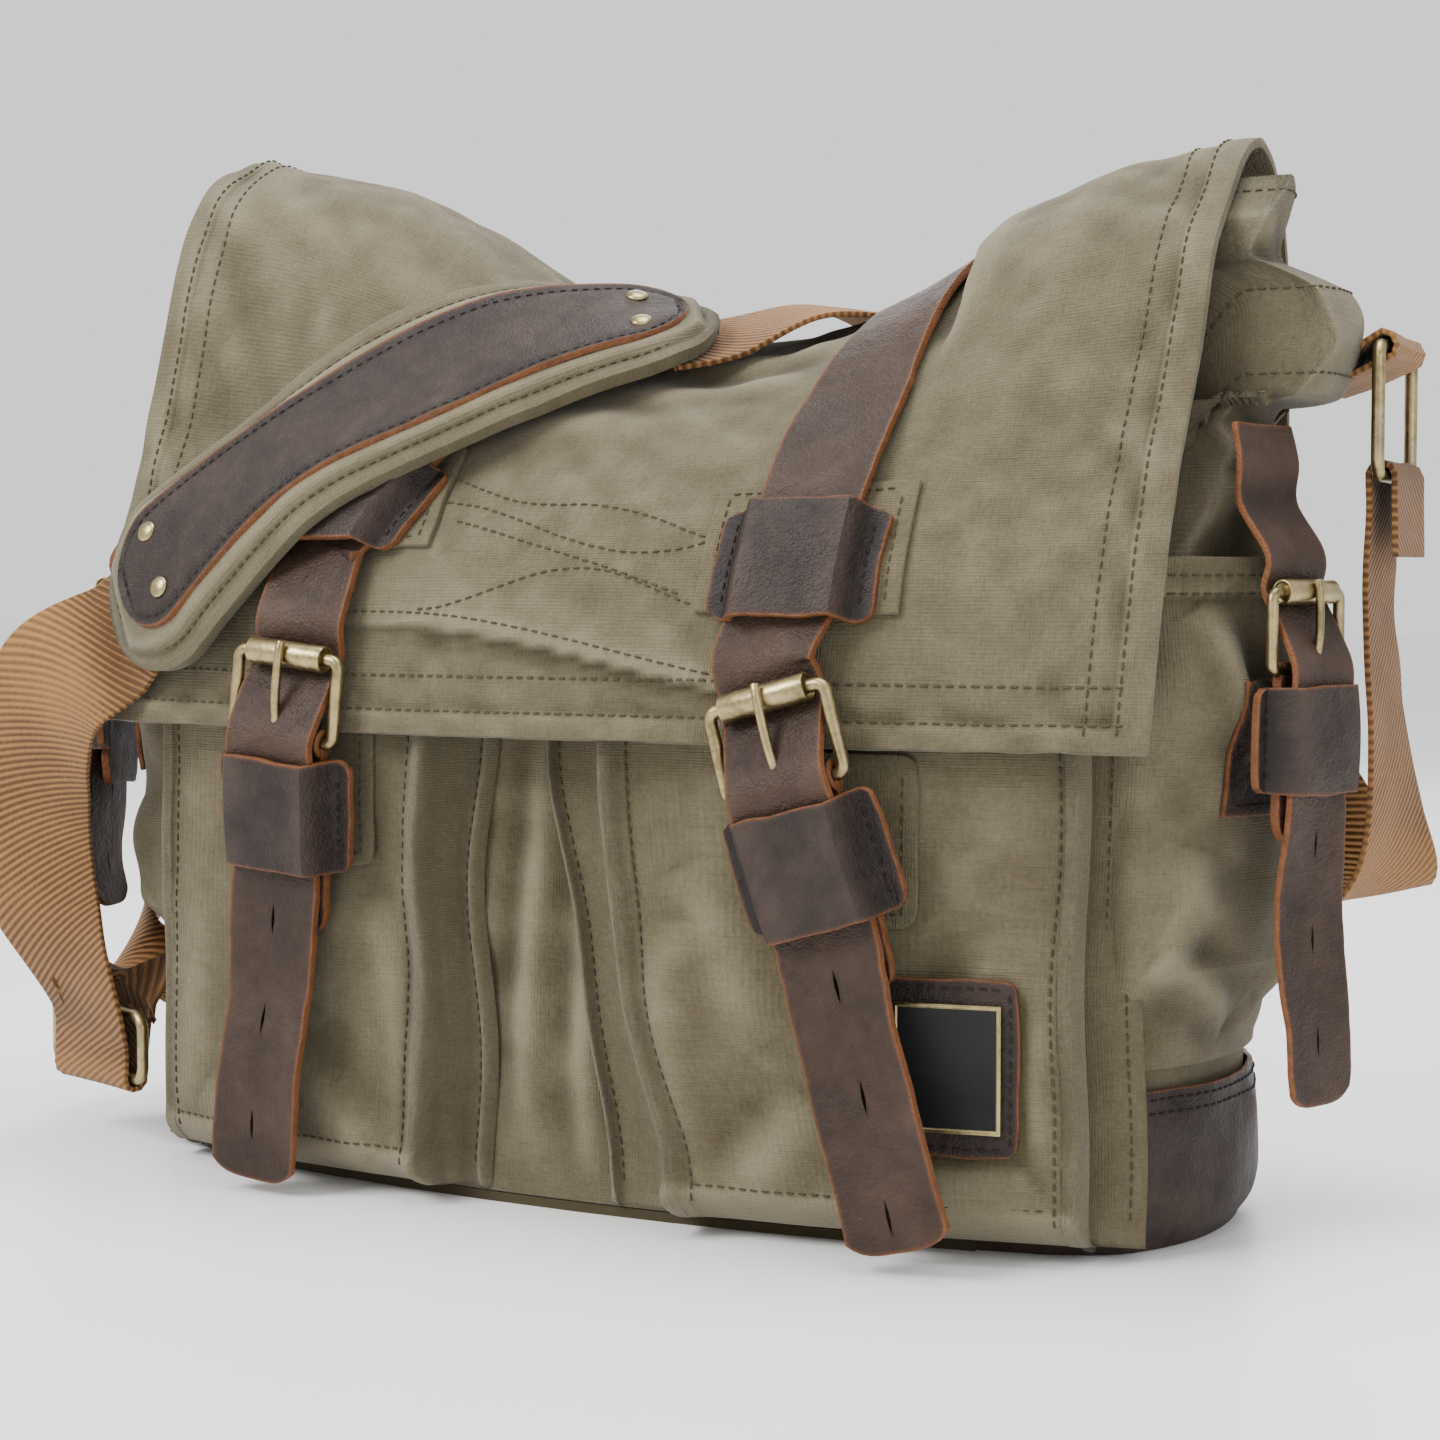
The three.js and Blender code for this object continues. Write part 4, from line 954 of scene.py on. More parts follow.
def back_point(s, t):
    """The back panel, seen from behind."""
    x = mix(CORNER_X, -CORNER_X, s) * 0.99
    z = mix(FLOOR_GAP, BACK_HEIGHT, t)
    slack = 3.0 * np.sin(np.pi * t) ** 0.6 * np.sin(np.pi * s) ** 0.6
    slack = slack + 1.8 * crumple(x, z, 52, 21) + 0.7 * crumple(x, z, 17, 22)
    slack = slack + creases(x, z, ((-120, 30), (-60, 70), 8, 2.0), ((130, 24), (60, 60), 8, 2.0))
    rim = smooth(t / 0.05) * smooth((1 - t) / 0.04) * smooth(s / 0.03) * smooth((1 - s) / 0.03)
    return vec(x, BACK_Y + 0.3 + slack * rim, z)


# The gusset's profile from the floor up: how far it stands out, and its height. The wall tucks in
# under a puffed band, whose top turns in to a stitched inner layer.
GUSSET_ROWS = ((0, 3.4), (0, 40), (0.6, 80), (1.2, 120), (1.6, 160), (0.5, 195), (0, 222),
               (-2.5, 236), (-6, 243), (-2, 247.5), (9.5, 248), (14, 251), (16.5, 261),
               (16, 272), (12, 279), (5, 283), (-3, 286.5), (-9, 289), (-11, 294),
               (-9.5, 303), (-8, 310), (-8.5, 314))


def gusset_point(s, t, puff=1.0, tuck=0.0):
    """The right gusset; its upper rows run down together at the front and back corners."""
    s, t = np.broadcast_arrays(np.asarray(s, float), np.asarray(t, float))
    round_side = smooth(np.minimum(s, 1 - s) / 0.2)
    corner = mix(FRONT_HEIGHT, BACK_HEIGHT, s)
    rows = []
    for out, z in GUSSET_ROWS:
        low = 150 + (z - 150) * (corner - 150) / 170 if z > 150 else z + 0 * s
        out = out * puff - tuck * smooth((z - 170) / 90)
        rows.append(np.stack([out * round_side, mix(low, z, round_side)], axis=-1))
    local = spline(np.stack(rows), t * (len(GUSSET_ROWS) - 1))
    out, z = local[..., 0], local[..., 1]
    a = s * 190
    wall = 1.8 * smooth((z - 50) / 40) * crumple(a, z, 34, 31)
    wall = wall + crease(a, z, (30, 226), (150, 238), 5, 3.2) * smooth((244 - z) / 6)
    wall = wall + creases(a, z, ((20, 204), (80, 226), 6, 2.6), ((60, 252), (110, 274), 7, 2.2),
                          ((100, 290), (60, 312), 6, 2.4))
    wall = wall + 1.0 * crumple(a, z, 13, 32) * smooth((z - 60) / 30)
    wall = wall * smooth(s / 0.05) * smooth((1 - s) / 0.05)
    point = side_point(s, z, out + wall)
    front = np.interp(point[..., 2], (140, 148, 201, 246, 301, 316), (-70, -50, -36, -17, -11, 4))
    back = np.interp(point[..., 2], (226, 240, 297, 316), (48.5, 46, 37, 24))
    point[..., 1] = np.clip(point[..., 1], front, back)
    return point


def boot_wall(s, z, out):
    """The line round a boot: from the front floor seam, round the corner, to the back."""
    s = np.asarray(s, float)
    knots = [(BOOT_INNER_X + 0.4, float(front_line(BOOT_INNER_X)) - 1)]
    knots += [(x, float(front_line(x)) - 1) for x in (136.0, 144.0)]
    for k in np.linspace(0.0, 1.0, 13):
        p = side_point(k, 0.0, 0.6)
        knots.append((float(p[0]), float(p[1])))
    knots += [(140.0, BACK_Y + 0.6), (BOOT_INNER_X + 0.4, BACK_Y + 0.6)]
    u = s * (len(knots) - 1)
    plan = spline(knots, u)
    ahead = spline(knots, np.clip(u + 0.05, 0, 17)) - spline(knots, np.clip(u - 0.05, 0, 17))
    away = unit(np.stack([ahead[..., 1], -ahead[..., 0]], axis=-1))
    plan = plan + away * np.asarray(out)[..., None]
    return vec(plan[..., 0], plan[..., 1], z)


def boot_point(s, t):
    """A leather boot: its sole in t up to a fifth, then the rounded wall."""
    sole = np.clip(t / 0.2, 0, 1)
    wall = np.clip((t - 0.2) / 0.8, 0, 1)
    z = mix(0.0, BOOT_HEIGHT, wall)
    belly = LEATHER + 2.2 * np.sin(np.pi * wall) - 4.2 * (1 - smooth(wall / 0.2))
    dents = 1.4 * crumple(s * 260, z, 26, 41) + 0.8 * crumple(s * 260, z, 11, 42)
    dents = dents * smooth(wall / 0.3)
    edge = boot_wall(s, z, belly + dents)
    spine = vec(mix(BOOT_INNER_X + 6, 168, np.sin(np.pi * s)), mix(-30, 30, s), 0.0 * s + 0.4)
    return mix(spine, edge, np.maximum(sole, 0.02)[..., None])


# ---- front pockets ----
def pocket_point(side, s, t):
    """A bellows pocket from its inner flange on the body round its puffed face to the outer one."""
    z = mix(4.0, POCKET_TOP, t)
    if side == RIGHT:
        inner = mix(42.0, 21.0, smooth(z / 115)) + 1.6 * np.sin(z / 13)
        foot = mix(24.0, 23.0, t) + 3.0 * np.sin(z / 21 + 1)
        outer = 163.0 + 0.9 * np.sin(z / 17)
    else:
        inner = -46.0 - 1.4 * np.sin(z / 15 + 0.7)
        foot = 13.0 + 2.0 * np.sin(z / 19)
        outer = -162.0 - 0.9 * np.sin(z / 15 + 1)
    reach = (outer - inner) * side
    sag = 2.6 * smooth((112 - z) / 50) * smooth(z / 26)
    face = POCKET_DEPTH - 0.8 + sag
    far = reach - 9
    rows = [(-foot - 3, 0.9), (-foot, 5.2), (-foot + 3, 2.2), (-foot * 0.45, 3.2), (-2.2, 11.0),
            (-0.6, POCKET_DEPTH + 3.6), (2.4, POCKET_DEPTH + 3.9), (6.0, POCKET_DEPTH + 0.6),
            (12.0, face), (reach * 0.3, face + 0.9), (reach * 0.5, face + 1.2),
            (reach * 0.72, face + 0.6), (far, face - 0.4), (far + 5, POCKET_DEPTH + 0.8),
            (far + 8.6, POCKET_DEPTH + 1.2), (far + 9.4, 10.0), (far + 6.5, 4.5),
            (far + 16, 2.6), (far + 22.5, 1.0)]
    plan = np.stack([np.stack(np.broadcast_arrays(
        np.asarray(a, float), np.asarray(d, float), z)[:2], axis=-1) for a, d in rows])
    local = spline(plan, s * (len(rows) - 1))
    x, depth = inner + side * local[..., 0], local[..., 1]
    across, on_face = local[..., 0], smooth((local[..., 1] - 9) / 5)
    depth = depth + on_face * (1.1 * crumple(x, z, 34, 51) + 0.35 * crumple(x, z, 12, 52))
    span = float(np.mean(reach))
    depth = depth + on_face * creases(
        across, z, ((8, 18), (16, 96), 8, 2.2), ((24, 10), (52, 46), 9, 2.6),
        ((20, 110), (44, 60), 10, 1.8), ((span * 0.9, 20), (span * 0.82, 96), 8, 1.6),
        ((span * 0.5, 8), (span * 0.8, 30), 9, 2.2),
        ((span * 0.45, 120), (span * 0.62, 88), 9, 1.6))
    if side == RIGHT:
        level = (smooth((25 - np.abs(x - LABEL_AT[0])) / 6)
                 * smooth((31 - np.abs(z - LABEL_AT[1])) / 6))
        depth = mix(depth, np.minimum(depth, POCKET_DEPTH + 1.0), level)
    lip = bell(z - 11, 8) * bell(across - 1, 8)
    depth = depth + 5.0 * lip * on_face
    curl = np.clip((z - 4) / 13, 0, 1)
    depth = depth * (0.16 + 0.84 * np.sqrt(1 - (1 - curl) ** 2))
    depth = depth + 0.8 * on_face * bell(z - 13, 3)
    return vec(x, front_line(x) - depth, z)


def pocket_surface(side):
    if side == RIGHT:
        return lambda s, t: pocket_point(side, s, t)
    return lambda s, t: pocket_point(side, 1 - s, t)


def side_pocket_surface(s, t):
    """The right side pocket: a puffed wall with folds drawn in by its buckle."""
    s, t = np.broadcast_arrays(np.asarray(s, float), np.asarray(t, float))
    a, z = s * 118, mix(SIDE_POCKET_LOW, SIDE_POCKET_TOP, t)
    folds = 2.4 * crumple(a, z, 30, 61) + 1.0 * crumple(a, z, 12, 62)
    folds = folds + creases(
        a, z, ((20, 186), (44, 146), 6, 4.5), ((12, 84), (58, 66), 6, 4.0),
        ((24, 120), (12, 70), 7, 3.5), ((96, 180), (70, 140), 6, 3.5),
        ((100, 100), (70, 70), 7, 3.5))
    folds = folds - 3.0 * bell(a - 50, 24) * bell(z - 142, 26)
    rim = smooth(s / 0.06) * smooth((1 - s) / 0.06) * smooth(t / 0.08)
    hem = 1.2 * smooth((z - 190) / 2) + 0.8 * np.sin(a / 9) * smooth((z - 176) / 20)
    return side_pocket_point(s, t, folds * rim + hem * rim)


class BAG_OT_body(bpy.types.Operator):
    """Makes the front, back and side cloth, the bottom's finish and their seams"""
    bl_idname = "bag.body"
    bl_label = "Body"

    def execute(self, context):
        wall = sizes().canvas / MM
        cloth_piece("front_canvas", panel_point, 150, 100, wall, "canvas", "bag", "front_panel")
        cloth_piece("back_canvas", back_point, 130, 100, wall, "canvas", "bag", "back_panel")
        across = np.linspace(0.02, 0.98, 300)
        upward = np.linspace(0.04, 0.97, 240)
        sewn("back_stitching", [row_on(back_point, s, t) for s, t in (
            (across, 0.965), (across, 0.03), (0.02, upward), (0.98, upward))], "bag")
        for side in (RIGHT, LEFT):
            surface = gusset_point if side == RIGHT else mirror_x(
                lambda s, t: gusset_point(s, t, 0.3, 12.0))
            name, across = SIDE_NAME[side], np.linspace(0.05, 0.95, 300)
            cloth_piece(f"{name}_gusset_canvas", surface, 120, 150, wall, "canvas", "bag",
                        f"side_gusset_{name}")
            seams = [row_on(surface, across, k) for k in (0.545, 0.672, 0.945)]
            sewn(f"{name}_gusset_stitching", seams, "bag")
        floor_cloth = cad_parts["bottom_panel"]
        floor_cloth.data.materials.clear()
        floor_cloth.data.materials.append(finish_named("canvas"))
        return {"FINISHED"}


class BAG_OT_boots(bpy.types.Operator):
    """Makes the leather boots at the bottom corners"""
    bl_idname = "bag.boots"
    bl_label = "Boots"

    def execute(self, context):
        for side in (RIGHT, LEFT):
            name, surface = SIDE_NAME[side], boot_point if side == RIGHT else mirror_x(boot_point)
            cloth_piece(f"{name}_boot_leather", surface, 120, 44, 1.6, "trim", "bag",
                        f"base_boot_{name}")
            around = np.linspace(0.01, 0.99, 400)
            sewn(f"{name}_boot_stitching", [row_on(surface, around, k) for k in (0.955, 0.89)],
                 "bag", "leather_thread")
        return {"FINISHED"}


class BAG_OT_pockets(bpy.types.Operator):
    """Makes the front and side pockets with their stitched flanges"""
    bl_idname = "bag.pockets"
    bl_label = "Pockets"

    def execute(self, context):
        upward = np.linspace(0.05, 1.0, 300)
        for side in (RIGHT, LEFT):
            name, surface = SIDE_NAME[side], pocket_surface(side)
            cloth_piece(f"{name}_front_pocket_canvas", surface, 230, 96, 1.6, "canvas", "bag",
                        f"front_pocket_{name}")
            places = [p / 18 for p in (1.9, 7.3, 12.2, 17.3)]
            lines = [p if side == RIGHT else 1 - p for p in places]
            rows = [row_on(surface, p, upward) for p in lines]
            hem = np.linspace(*sorted((lines[1], lines[2])), 300)
            rows.append(row_on(surface, hem, 0.085))
            sewn(f"{name}_front_pocket_stitching", rows, "bag")
            puffed = side_pocket_surface if side == RIGHT else mirror_x(side_pocket_surface)
            cloth_piece(f"{name}_side_pocket_canvas", puffed, 120, 120, 1.8, "canvas", "bag",
                        f"side_pocket_{name}")
            across = np.linspace(0.02, 0.98, 240)
            sewn(f"{name}_side_pocket_stitching", [row_on(puffed, s, t) for s, t in (
                (across, 0.93), (across, 0.965), (0.03, upward), (0.97, upward))], "bag")
        return {"FINISHED"}


# ---- the flap ----
class BAG_OT_flap(bpy.types.Operator):
    """Makes the stand-up flap with its tuck, patches and decorative stitching"""
    bl_idname = "bag.flap"
    bl_label = "Flap"

    def execute(self, context):
        def surface(s, t):
            return on_flap(mix(-FLAP_HALF_WIDTH, FLAP_HALF_WIDTH, s) * 0.999, t * FLAP_STEPS, 0.0)

        flap = cloth_piece("flap_canvas", surface, 244, 180, 2.8, "canvas", "flap",
                           "flap_panel", 0.7)
        x = np.linspace(-180, 180, 900)
        u = np.linspace(0.12, 5.9, 900)
        rows = [flap_row(x, 0.20), flap_row(x, 0.40)]
        rows += [flap_row(edge, u) for edge in (177.0, 168.0, -177.0, -168.0)]
        tuck = np.linspace(-76, 64, 300)
        rows.append(flap_row(tuck, tuck_line(tuck) + 0.07))
        wave = np.linspace(-46, 60, 300)
        rows.append(flap_row(wave, 1.55 - 0.0045 * (wave + 22) + 0.05 * np.sin(wave / 12)))
        rows.append(flap_row(wave, 0.85 + 0.12 * np.sin(wave / 17 + 1)))
        rows.append(flap_row(wave, 1.28 - 0.20 * np.sin(wave / 25 + 0.4)))
        cross = np.linspace(-40, 48, 240)
        rows.append(flap_row(cross, 1.15 - 0.006 * (cross + 10)))
        sewn("flap_stitching", rows, "flap")
        for side, spec in CLOSURES.items():
            self.patch(side, spec)
        return {"FINISHED"}

    def patch(self, side, spec):
        """The canvas patch under a strap's upper keeper."""
        keeper_u = keeper_step(spec)

        def surface(s, t):
            return on_flap(spec["keeper_x"] + mix(-31, 31, s),
                           mix(keeper_u - 0.27, keeper_u + 0.56, t), PATCH + 0.2)

        name, k = SIDE_NAME[side], np.linspace(0.07, 0.93, 120)
        cloth_piece(f"{name}_flap_patch_canvas", surface, 44, 34, PATCH, "canvas", "flap",
                    f"flap_patch_{name}")
        sewn(f"{name}_flap_patch_stitching", [row_on(surface, s, t) for s, t in (
            (k, 0.08), (k, 0.92), (0.07, k), (0.93, k))], "flap")


# ---- straps, keepers and buckles ----
def strap_place(spec):
    """The frame of a front buckle, at the middle of its pivot bar."""
    foot = flap_point(spec["x"], 0.0)
    clear = ROLLER_RADIUS + LEATHER + 4 * GAP
    return Place((spec["x"], float(foot[1]) - clear, spec["z"]), spec["lean"], 0.0)


def leaving_step(spec):
    """Where the strap leaves the flap for the buckle, in steps."""
    return (float(strap_place(spec).at(0, BUCKLE_RISE + 12, 0)[2]) - HEM_Z) / 52 + 0.35


def keeper_step(spec):
    return leaving_step(spec) + spec["keeper_rise"]


def side_place():
    """The frame of the right side buckle, standing off the pocket."""
    low = (170.0 - SIDE_POCKET_LOW) / (SIDE_POCKET_TOP - SIDE_POCKET_LOW)
    foot, ahead = side_pocket_point(0.42, low), side_pocket_point(0.43, low)
    turn = math.atan2(float(ahead[1] - foot[1]), float(ahead[0] - foot[0]))
    away = np.array([math.sin(turn), -math.cos(turn), 0]) * 11
    return Place(foot + away, 0.0, turn)


def tail_rows(place, low, drop, size=1.0):
    """Rows of the strap from its tip up over the pivot bar and behind the roller."""
    upper = [place.at(0, v * size, w * size) for v, w in (
        (BUCKLE_RISE + 12, BEHIND_ROLLER + 1), (BUCKLE_RISE, BEHIND_ROLLER),
        (BUCKLE_RISE * 0.45, 1.6))]
    middle = [low.at(0, v * size, w * size) for v, w in (
        (1, OVER_PIVOT), (-10, OVER_TAB + 1.7), (-24, OVER_TAB + 0.2), (-42, OVER_TAB))]
    rest = float(np.dot(middle[3] - place.origin, place.out)) / size
    tail = [place.at(0, v * size, w * size) for v, w in (
        (-70, rest - 0.3), (-(70 + drop) / 2, rest + 1.5), (-drop, rest))]
    return [(p, place.across) for p in reversed([*upper, *middle, *tail])]


def strap_piece(name, ribbon, width, thickness, seed, tilt):
    """A leather strap with rough edges, a rounded tip and a hand-worn wave."""
    steps = int(ribbon.length / 2.2)

    def surface(s, t):
        along = t * ribbon.length
        rough = 0.5 * crumple(along, 0 * along, 15, seed) + 0.3 * crumple(along, 9, 5, seed)
        half, side = width / 2 + rough, 2 * s - 1
        round_tip = np.abs(side) ** 4 * 4.5 * smooth((14 - along) / 14)
        free = smooth((96 - along) / 40)
        wave = free * (1.6 * np.sin(along / 15 + seed) + tilt * side * np.sin(along / 31))
        cup = 0.7 * (side ** 2 - 0.4) + 0.35 * crumple(along, side * 9, 13, seed + 1)
        return ribbon.at(along + round_tip, side * half + free * 1.3 * np.sin(along / 22 + seed),
                         thickness / 2 + wave + cup)

    piece = cloth_grid(name, surface, 16, steps)
    thicken(piece, thickness * MM, bevel=0.5)
    return piece


def keeper_band(name, surface, body, node):
    """A leather keeper, sewn down at its two ends."""
    cloth_piece(f"{name}_leather", surface, 34, 20, LEATHER, "trim", body, node, 0.6)
    k = np.linspace(0.12, 0.88, 60)
    sewn(f"{name}_stitching", [row_on(surface, end, k) for end in (0.085, 1 - 0.085)], body,
         "leather_thread")


def ragged(s, t, width, height, seed, depth=0.7):
    """Moves a rectangle's border in and out a little, as hand-cut leather."""
    a, v = (2 * s - 1) * width / 2, (2 * t - 1) * height / 2
    ends, rims = np.abs(2 * s - 1) ** 8, np.abs(2 * t - 1) ** 8
    a = a + np.sign(a) * ends * depth * crumple(v + 40 * np.sign(a), 0 * v, 7, seed)
    v = v + np.sign(v) * rims * depth * crumple(a, 50 * np.sign(v), 8, seed + 1)
    corner = np.clip(np.abs(2 * s - 1) * np.abs(2 * t - 1), 0, 1) ** 10
    return a - np.sign(a) * corner * 1.6, v - np.sign(v) * corner * 1.6


def wrap_keeper(place, size, seed):
    """A keeper over strap and tab: raised in the middle, its two ends sewn down."""
    width, height = 50.0 * size, 36.0 * size
    top = (OVER_PIVOT + LEATHER / 2 + GAP + LEATHER + 0.6) * size

    def surface(s, t):
        a, v = ragged(s, t, width, height, seed)
        lift = smooth((width / 2 - 4.5 * size - np.abs(a)) / (5.5 * size))
        puff = 0.8 * np.sin(np.pi * t) * lift + 0.5 * crumple(a, v, 14, seed + 2)
        return place.at(a, v - 23.0 * size, mix(SEWN_DOWN, top, lift) + puff)

    return surface


def buckle_hardware(prefix, place, size, bodies, nodes):
    """The wire frame, its roller tube and the prong."""
    line = [place.at(a * size, v * size, 0)
            for a, v in rounded_loop(BUCKLE_HALF, 0, BUCKLE_RISE, 3)]
    frame_piece = round_bar(f"{prefix}_buckle_brass", line, sizes().wire / MM / 2 * size)
    finish(frame_piece, "brass", bodies[0], nodes[0], sharp=60)
    deselect()
    bpy.ops.mesh.primitive_cylinder_add(vertices=36, radius=ROLLER_RADIUS * size * MM,
                                        depth=2 * ROLLER_HALF * size * MM, end_fill_type="NGON")
    roller = new_piece(f"{prefix}_roller_brass")
    select_faces(roller, lambda face: abs(face.normal.z) > 0.9)
    sunk_faces(roller, 0.9 * size, 1.2 * size, 0.35 * size)
    for corner in roller.data.vertices:
        a, b, c = (v / MM for v in corner.co)
        corner.co = Vector(place.at(c, BUCKLE_RISE * size + a, b) * MM)
    fix_normals(roller)
    finish(roller, "brass", bodies[1], nodes[1])
    path = [(0, -2.4, -1.8), (0, -3.2, 1.2), (0, -0.6, 3.4), (0, 5, 4.4), (0, 13, 5.5),
            (0, 22, 5.5), (0, 27, 5.3), (0, 30, 4.5)]
    dense = spline([place.at(a * size, v * size, w * size) for a, v, w in path],
                   np.linspace(0, len(path) - 1, 36))
    prong = round_bar(f"{prefix}_prong_brass", dense, 1.45 * size, closed=False)
    eye = [place.at(0, 3.3 * math.sin(k) * size, 3.3 * math.cos(k) * size)
           for k in np.linspace(0, 2 * math.pi, 22)[:-1]]
    ring = round_bar(f"{prefix}_prong_eye", eye, 1.15 * size)
    choose(prong)
    ring.select_set(True)
    bpy.ops.object.join()
    finish(prong, "brass", bodies[2], nodes[2], sharp=60)


class BAG_OT_front_closures(bpy.types.Operator):
    """Makes the two front straps with their buckles, tabs, keepers and pocket patches"""
    bl_idname = "bag.front_closures"
    bl_label = "Front closures"

    def execute(self, context):
        for side, spec in CLOSURES.items():
            self.closure(side, spec)
        return {"FINISHED"}

    def closure(self, side, spec):
        name = SIDE_NAME[side]
        place = strap_place(spec)
        low = place.tipped(math.radians(9))
        width = sizes().strap_width / MM
        leaves, keeper_u = leaving_step(spec), keeper_step(spec)

        def strap_x(u):
            return mix(spec["keeper_x"], spec["top_x"], (u - keeper_u) / (spec["top"] - keeper_u))

        lying = []
        for u in np.linspace(leaves, spec["top"], 9):
            x = strap_x(u)
            rest = float(np.mean(flap_folds(x + np.linspace(-13, 8, 6), u)))
            height = mix(5.0, 2.6, smooth((u - keeper_u - 0.6) / 0.8)) + max(rest, -3)
            point = over_flap(x, u, height)
            across = unit(flap_point(x + 1, u) - flap_point(x - 1, u))
            lying.append((point, across))
        ribbon = Ribbon([*tail_rows(place, low, spec["drop"]), *lying])
        strap = strap_piece(f"{name}_front_strap_leather", ribbon, width, sizes().leather / MM,
                            70 + side, 1.2)
        cut_with(strap, [slit(place, v, 10, 0.6) for v in TAIL_SLOTS])
        finish(strap, "strap", "flap", f"front_strap_{name}")

        def flap_keeper(s, t):
            a, v = ragged(s, t, 50, 32, 80 + side)
            u = keeper_u + v / STEP_LENGTH
            lift = smooth((20.5 - np.abs(a)) / 6)
            crumpled = 0.5 * crumple(a, v, 12, 82 + side)
            rise = PATCH + 0.3 + LEATHER + 8.2 * lift + crumpled
            x = strap_x(u) + a
            return over_flap(x, u, flap_folds(x, u) * (1 - lift) + rise)

        keeper_band(f"{name}_flap_keeper", flap_keeper, "flap", f"flap_keeper_{name}")

        buckle_hardware(f"{name}_front", place, 1.0, ("flap", f"roller_{name}", f"prong_{name}"),
                        (f"buckle_frame_{name}", f"roller_{name}", f"prong_{name}"))

        def tab(s, t):
            a, v = ragged(s, t, width, 66, 90 + side)
            return low.at(a, v - 28, 1.6 + 0 * a)

        tab_piece = cloth_grid(f"{name}_buckle_tab_leather", tab, 16, 30)
        thicken(tab_piece, 3.6 * MM, bevel=0.6)
        loop = [(low.at(0, 3.6 * math.cos(k), 3.6 * math.sin(k)), low.across)
                for k in np.linspace(-1.0, math.pi + 1.0, 12)]
        self.fold(name, tab_piece, Ribbon(loop), width)
        finish(tab_piece, "strap", "flap", f"buckle_tab_{name}")

        keeper_band(f"{name}_strap_keeper", wrap_keeper(low, 1.0, 100 + side), "flap",
                    f"strap_keeper_{name}")

        patch_x = float(place.at(0, -20, 0)[0])

        def pocket_patch(s, t):
            a, v = ragged(s, t, 52, 50, 110 + side, 0.4)
            x = patch_x + a
            return vec(x, front_line(x) - POCKET_DEPTH - 2.4, spec["z"] - 16 + v)

        cloth_piece(f"{name}_pocket_patch_canvas", pocket_patch, 24, 24, PATCH, "canvas", "bag",
                    f"pocket_patch_{name}")
        k = np.linspace(0.06, 0.94, 100)
        sewn(f"{name}_pocket_patch_stitching",
             [row_on(pocket_patch, s, t) for s, t in ((0.08, k), (0.92, k), (k, 0.08))], "bag")

    def fold(self, name, tab_piece, ribbon, width):
        """Joins the tab's fold round the pivot bar, on either side of the prong."""
        for part, (start, end) in enumerate(((-width / 2, -3.4), (3.4, width / 2))):
            fold = cloth_grid(f"{name}_fold_{part}", lambda s, t: ribbon.at(
                t * ribbon.length, mix(start, end, s), 0.0), 6, 18)
            thicken(fold, 2.2 * MM, offset=0)
            choose(tab_piece)
            fold.select_set(True)
            bpy.ops.object.join()


class BAG_OT_side_closures(bpy.types.Operator):
    """Makes the strap, buckle, backing and keeper on each side pocket"""
    bl_idname = "bag.side_closures"
    bl_label = "Side closures"

    def execute(self, context):
        for side in (RIGHT, LEFT):
            self.closure(side)
        return {"FINISHED"}

    def closure(self, side):
        name = SIDE_NAME[side]
        place = side_place()
        if side == LEFT:
            flipped = Place(place.origin * (-1, 1, 1), 0, 0)
            flipped.across = place.across * (1, -1, -1)
            flipped.out = place.out * (-1, 1, 1)
            flipped.up = place.up
            place = flipped
        size, half = SIDE_SCALE, 16.0 * SIDE_SCALE
        turned = np.array([side, 1, 1])
        gusset_s = mix(SIDE_POCKET_FROM, SIDE_POCKET_TO, 0.42)
        hang = [(side_point(gusset_s, z, out) * turned, place.across)
                for z, out in ((217.0, 10.0), (229.0, 8.5), (240.0, 5.0))]
        drop = 146.0 if side == RIGHT else 108.0
        ribbon = Ribbon([*tail_rows(place, place, drop, size), *hang])
        strap = strap_piece(f"{name}_side_strap_leather", ribbon, 2 * half, LEATHER * size,
                            120 + side, 1.6)
        holes = [v for v in TAIL_SLOTS if v - 12 > -drop]
        cut_with(strap, [slit(place, v, 10, 0.6, size) for v in holes])
        finish(strap, "strap", "bag", f"side_strap_{name}")
        nodes = (f"side_buckle_frame_{name}", f"side_roller_{name}", f"side_prong_{name}")
        buckle_hardware(f"{name}_side", place, size, ("bag", nodes[1], nodes[2]), nodes)

        def tab(s, t):
            a, v = ragged(s, t, 2 * half, 50, 130 + side)
            return place.at(a, v - 23, 1.3 + 0 * a)

        cloth_piece(f"{name}_side_tab_leather", tab, 14, 24, 3.0, "strap", "bag",
                    f"side_buckle_tab_{name}", 0.5)

        low, high = ((z - SIDE_POCKET_LOW) / (SIDE_POCKET_TOP - SIDE_POCKET_LOW)
                     for z in (128.0, 167.0))

        def backing(s, t):
            point = side_pocket_surface(0.44 + mix(-0.17, 0.17, s), mix(low, high, t))
            outward = side_pocket_point(0.42, 0.5, 1.0) - side_pocket_point(0.42, 0.5, 0.0)
            return point + outward * (PATCH + 0.6)

        patch_surface = backing if side == RIGHT else mirror_x(backing)
        cloth_piece(f"{name}_side_backing_leather", patch_surface, 26, 22, PATCH, "trim", "bag",
                    f"side_backing_{name}")
        k = np.linspace(0.08, 0.92, 80)
        sewn(f"{name}_side_backing_stitching",
             [row_on(patch_surface, s, t) for s, t in ((k, 0.08), (0.07, k), (0.93, k))],
             "bag", "leather_thread")
        keeper_band(f"{name}_side_keeper", wrap_keeper(place, size, 140 + side), "bag",
                    f"side_keeper_{name}")


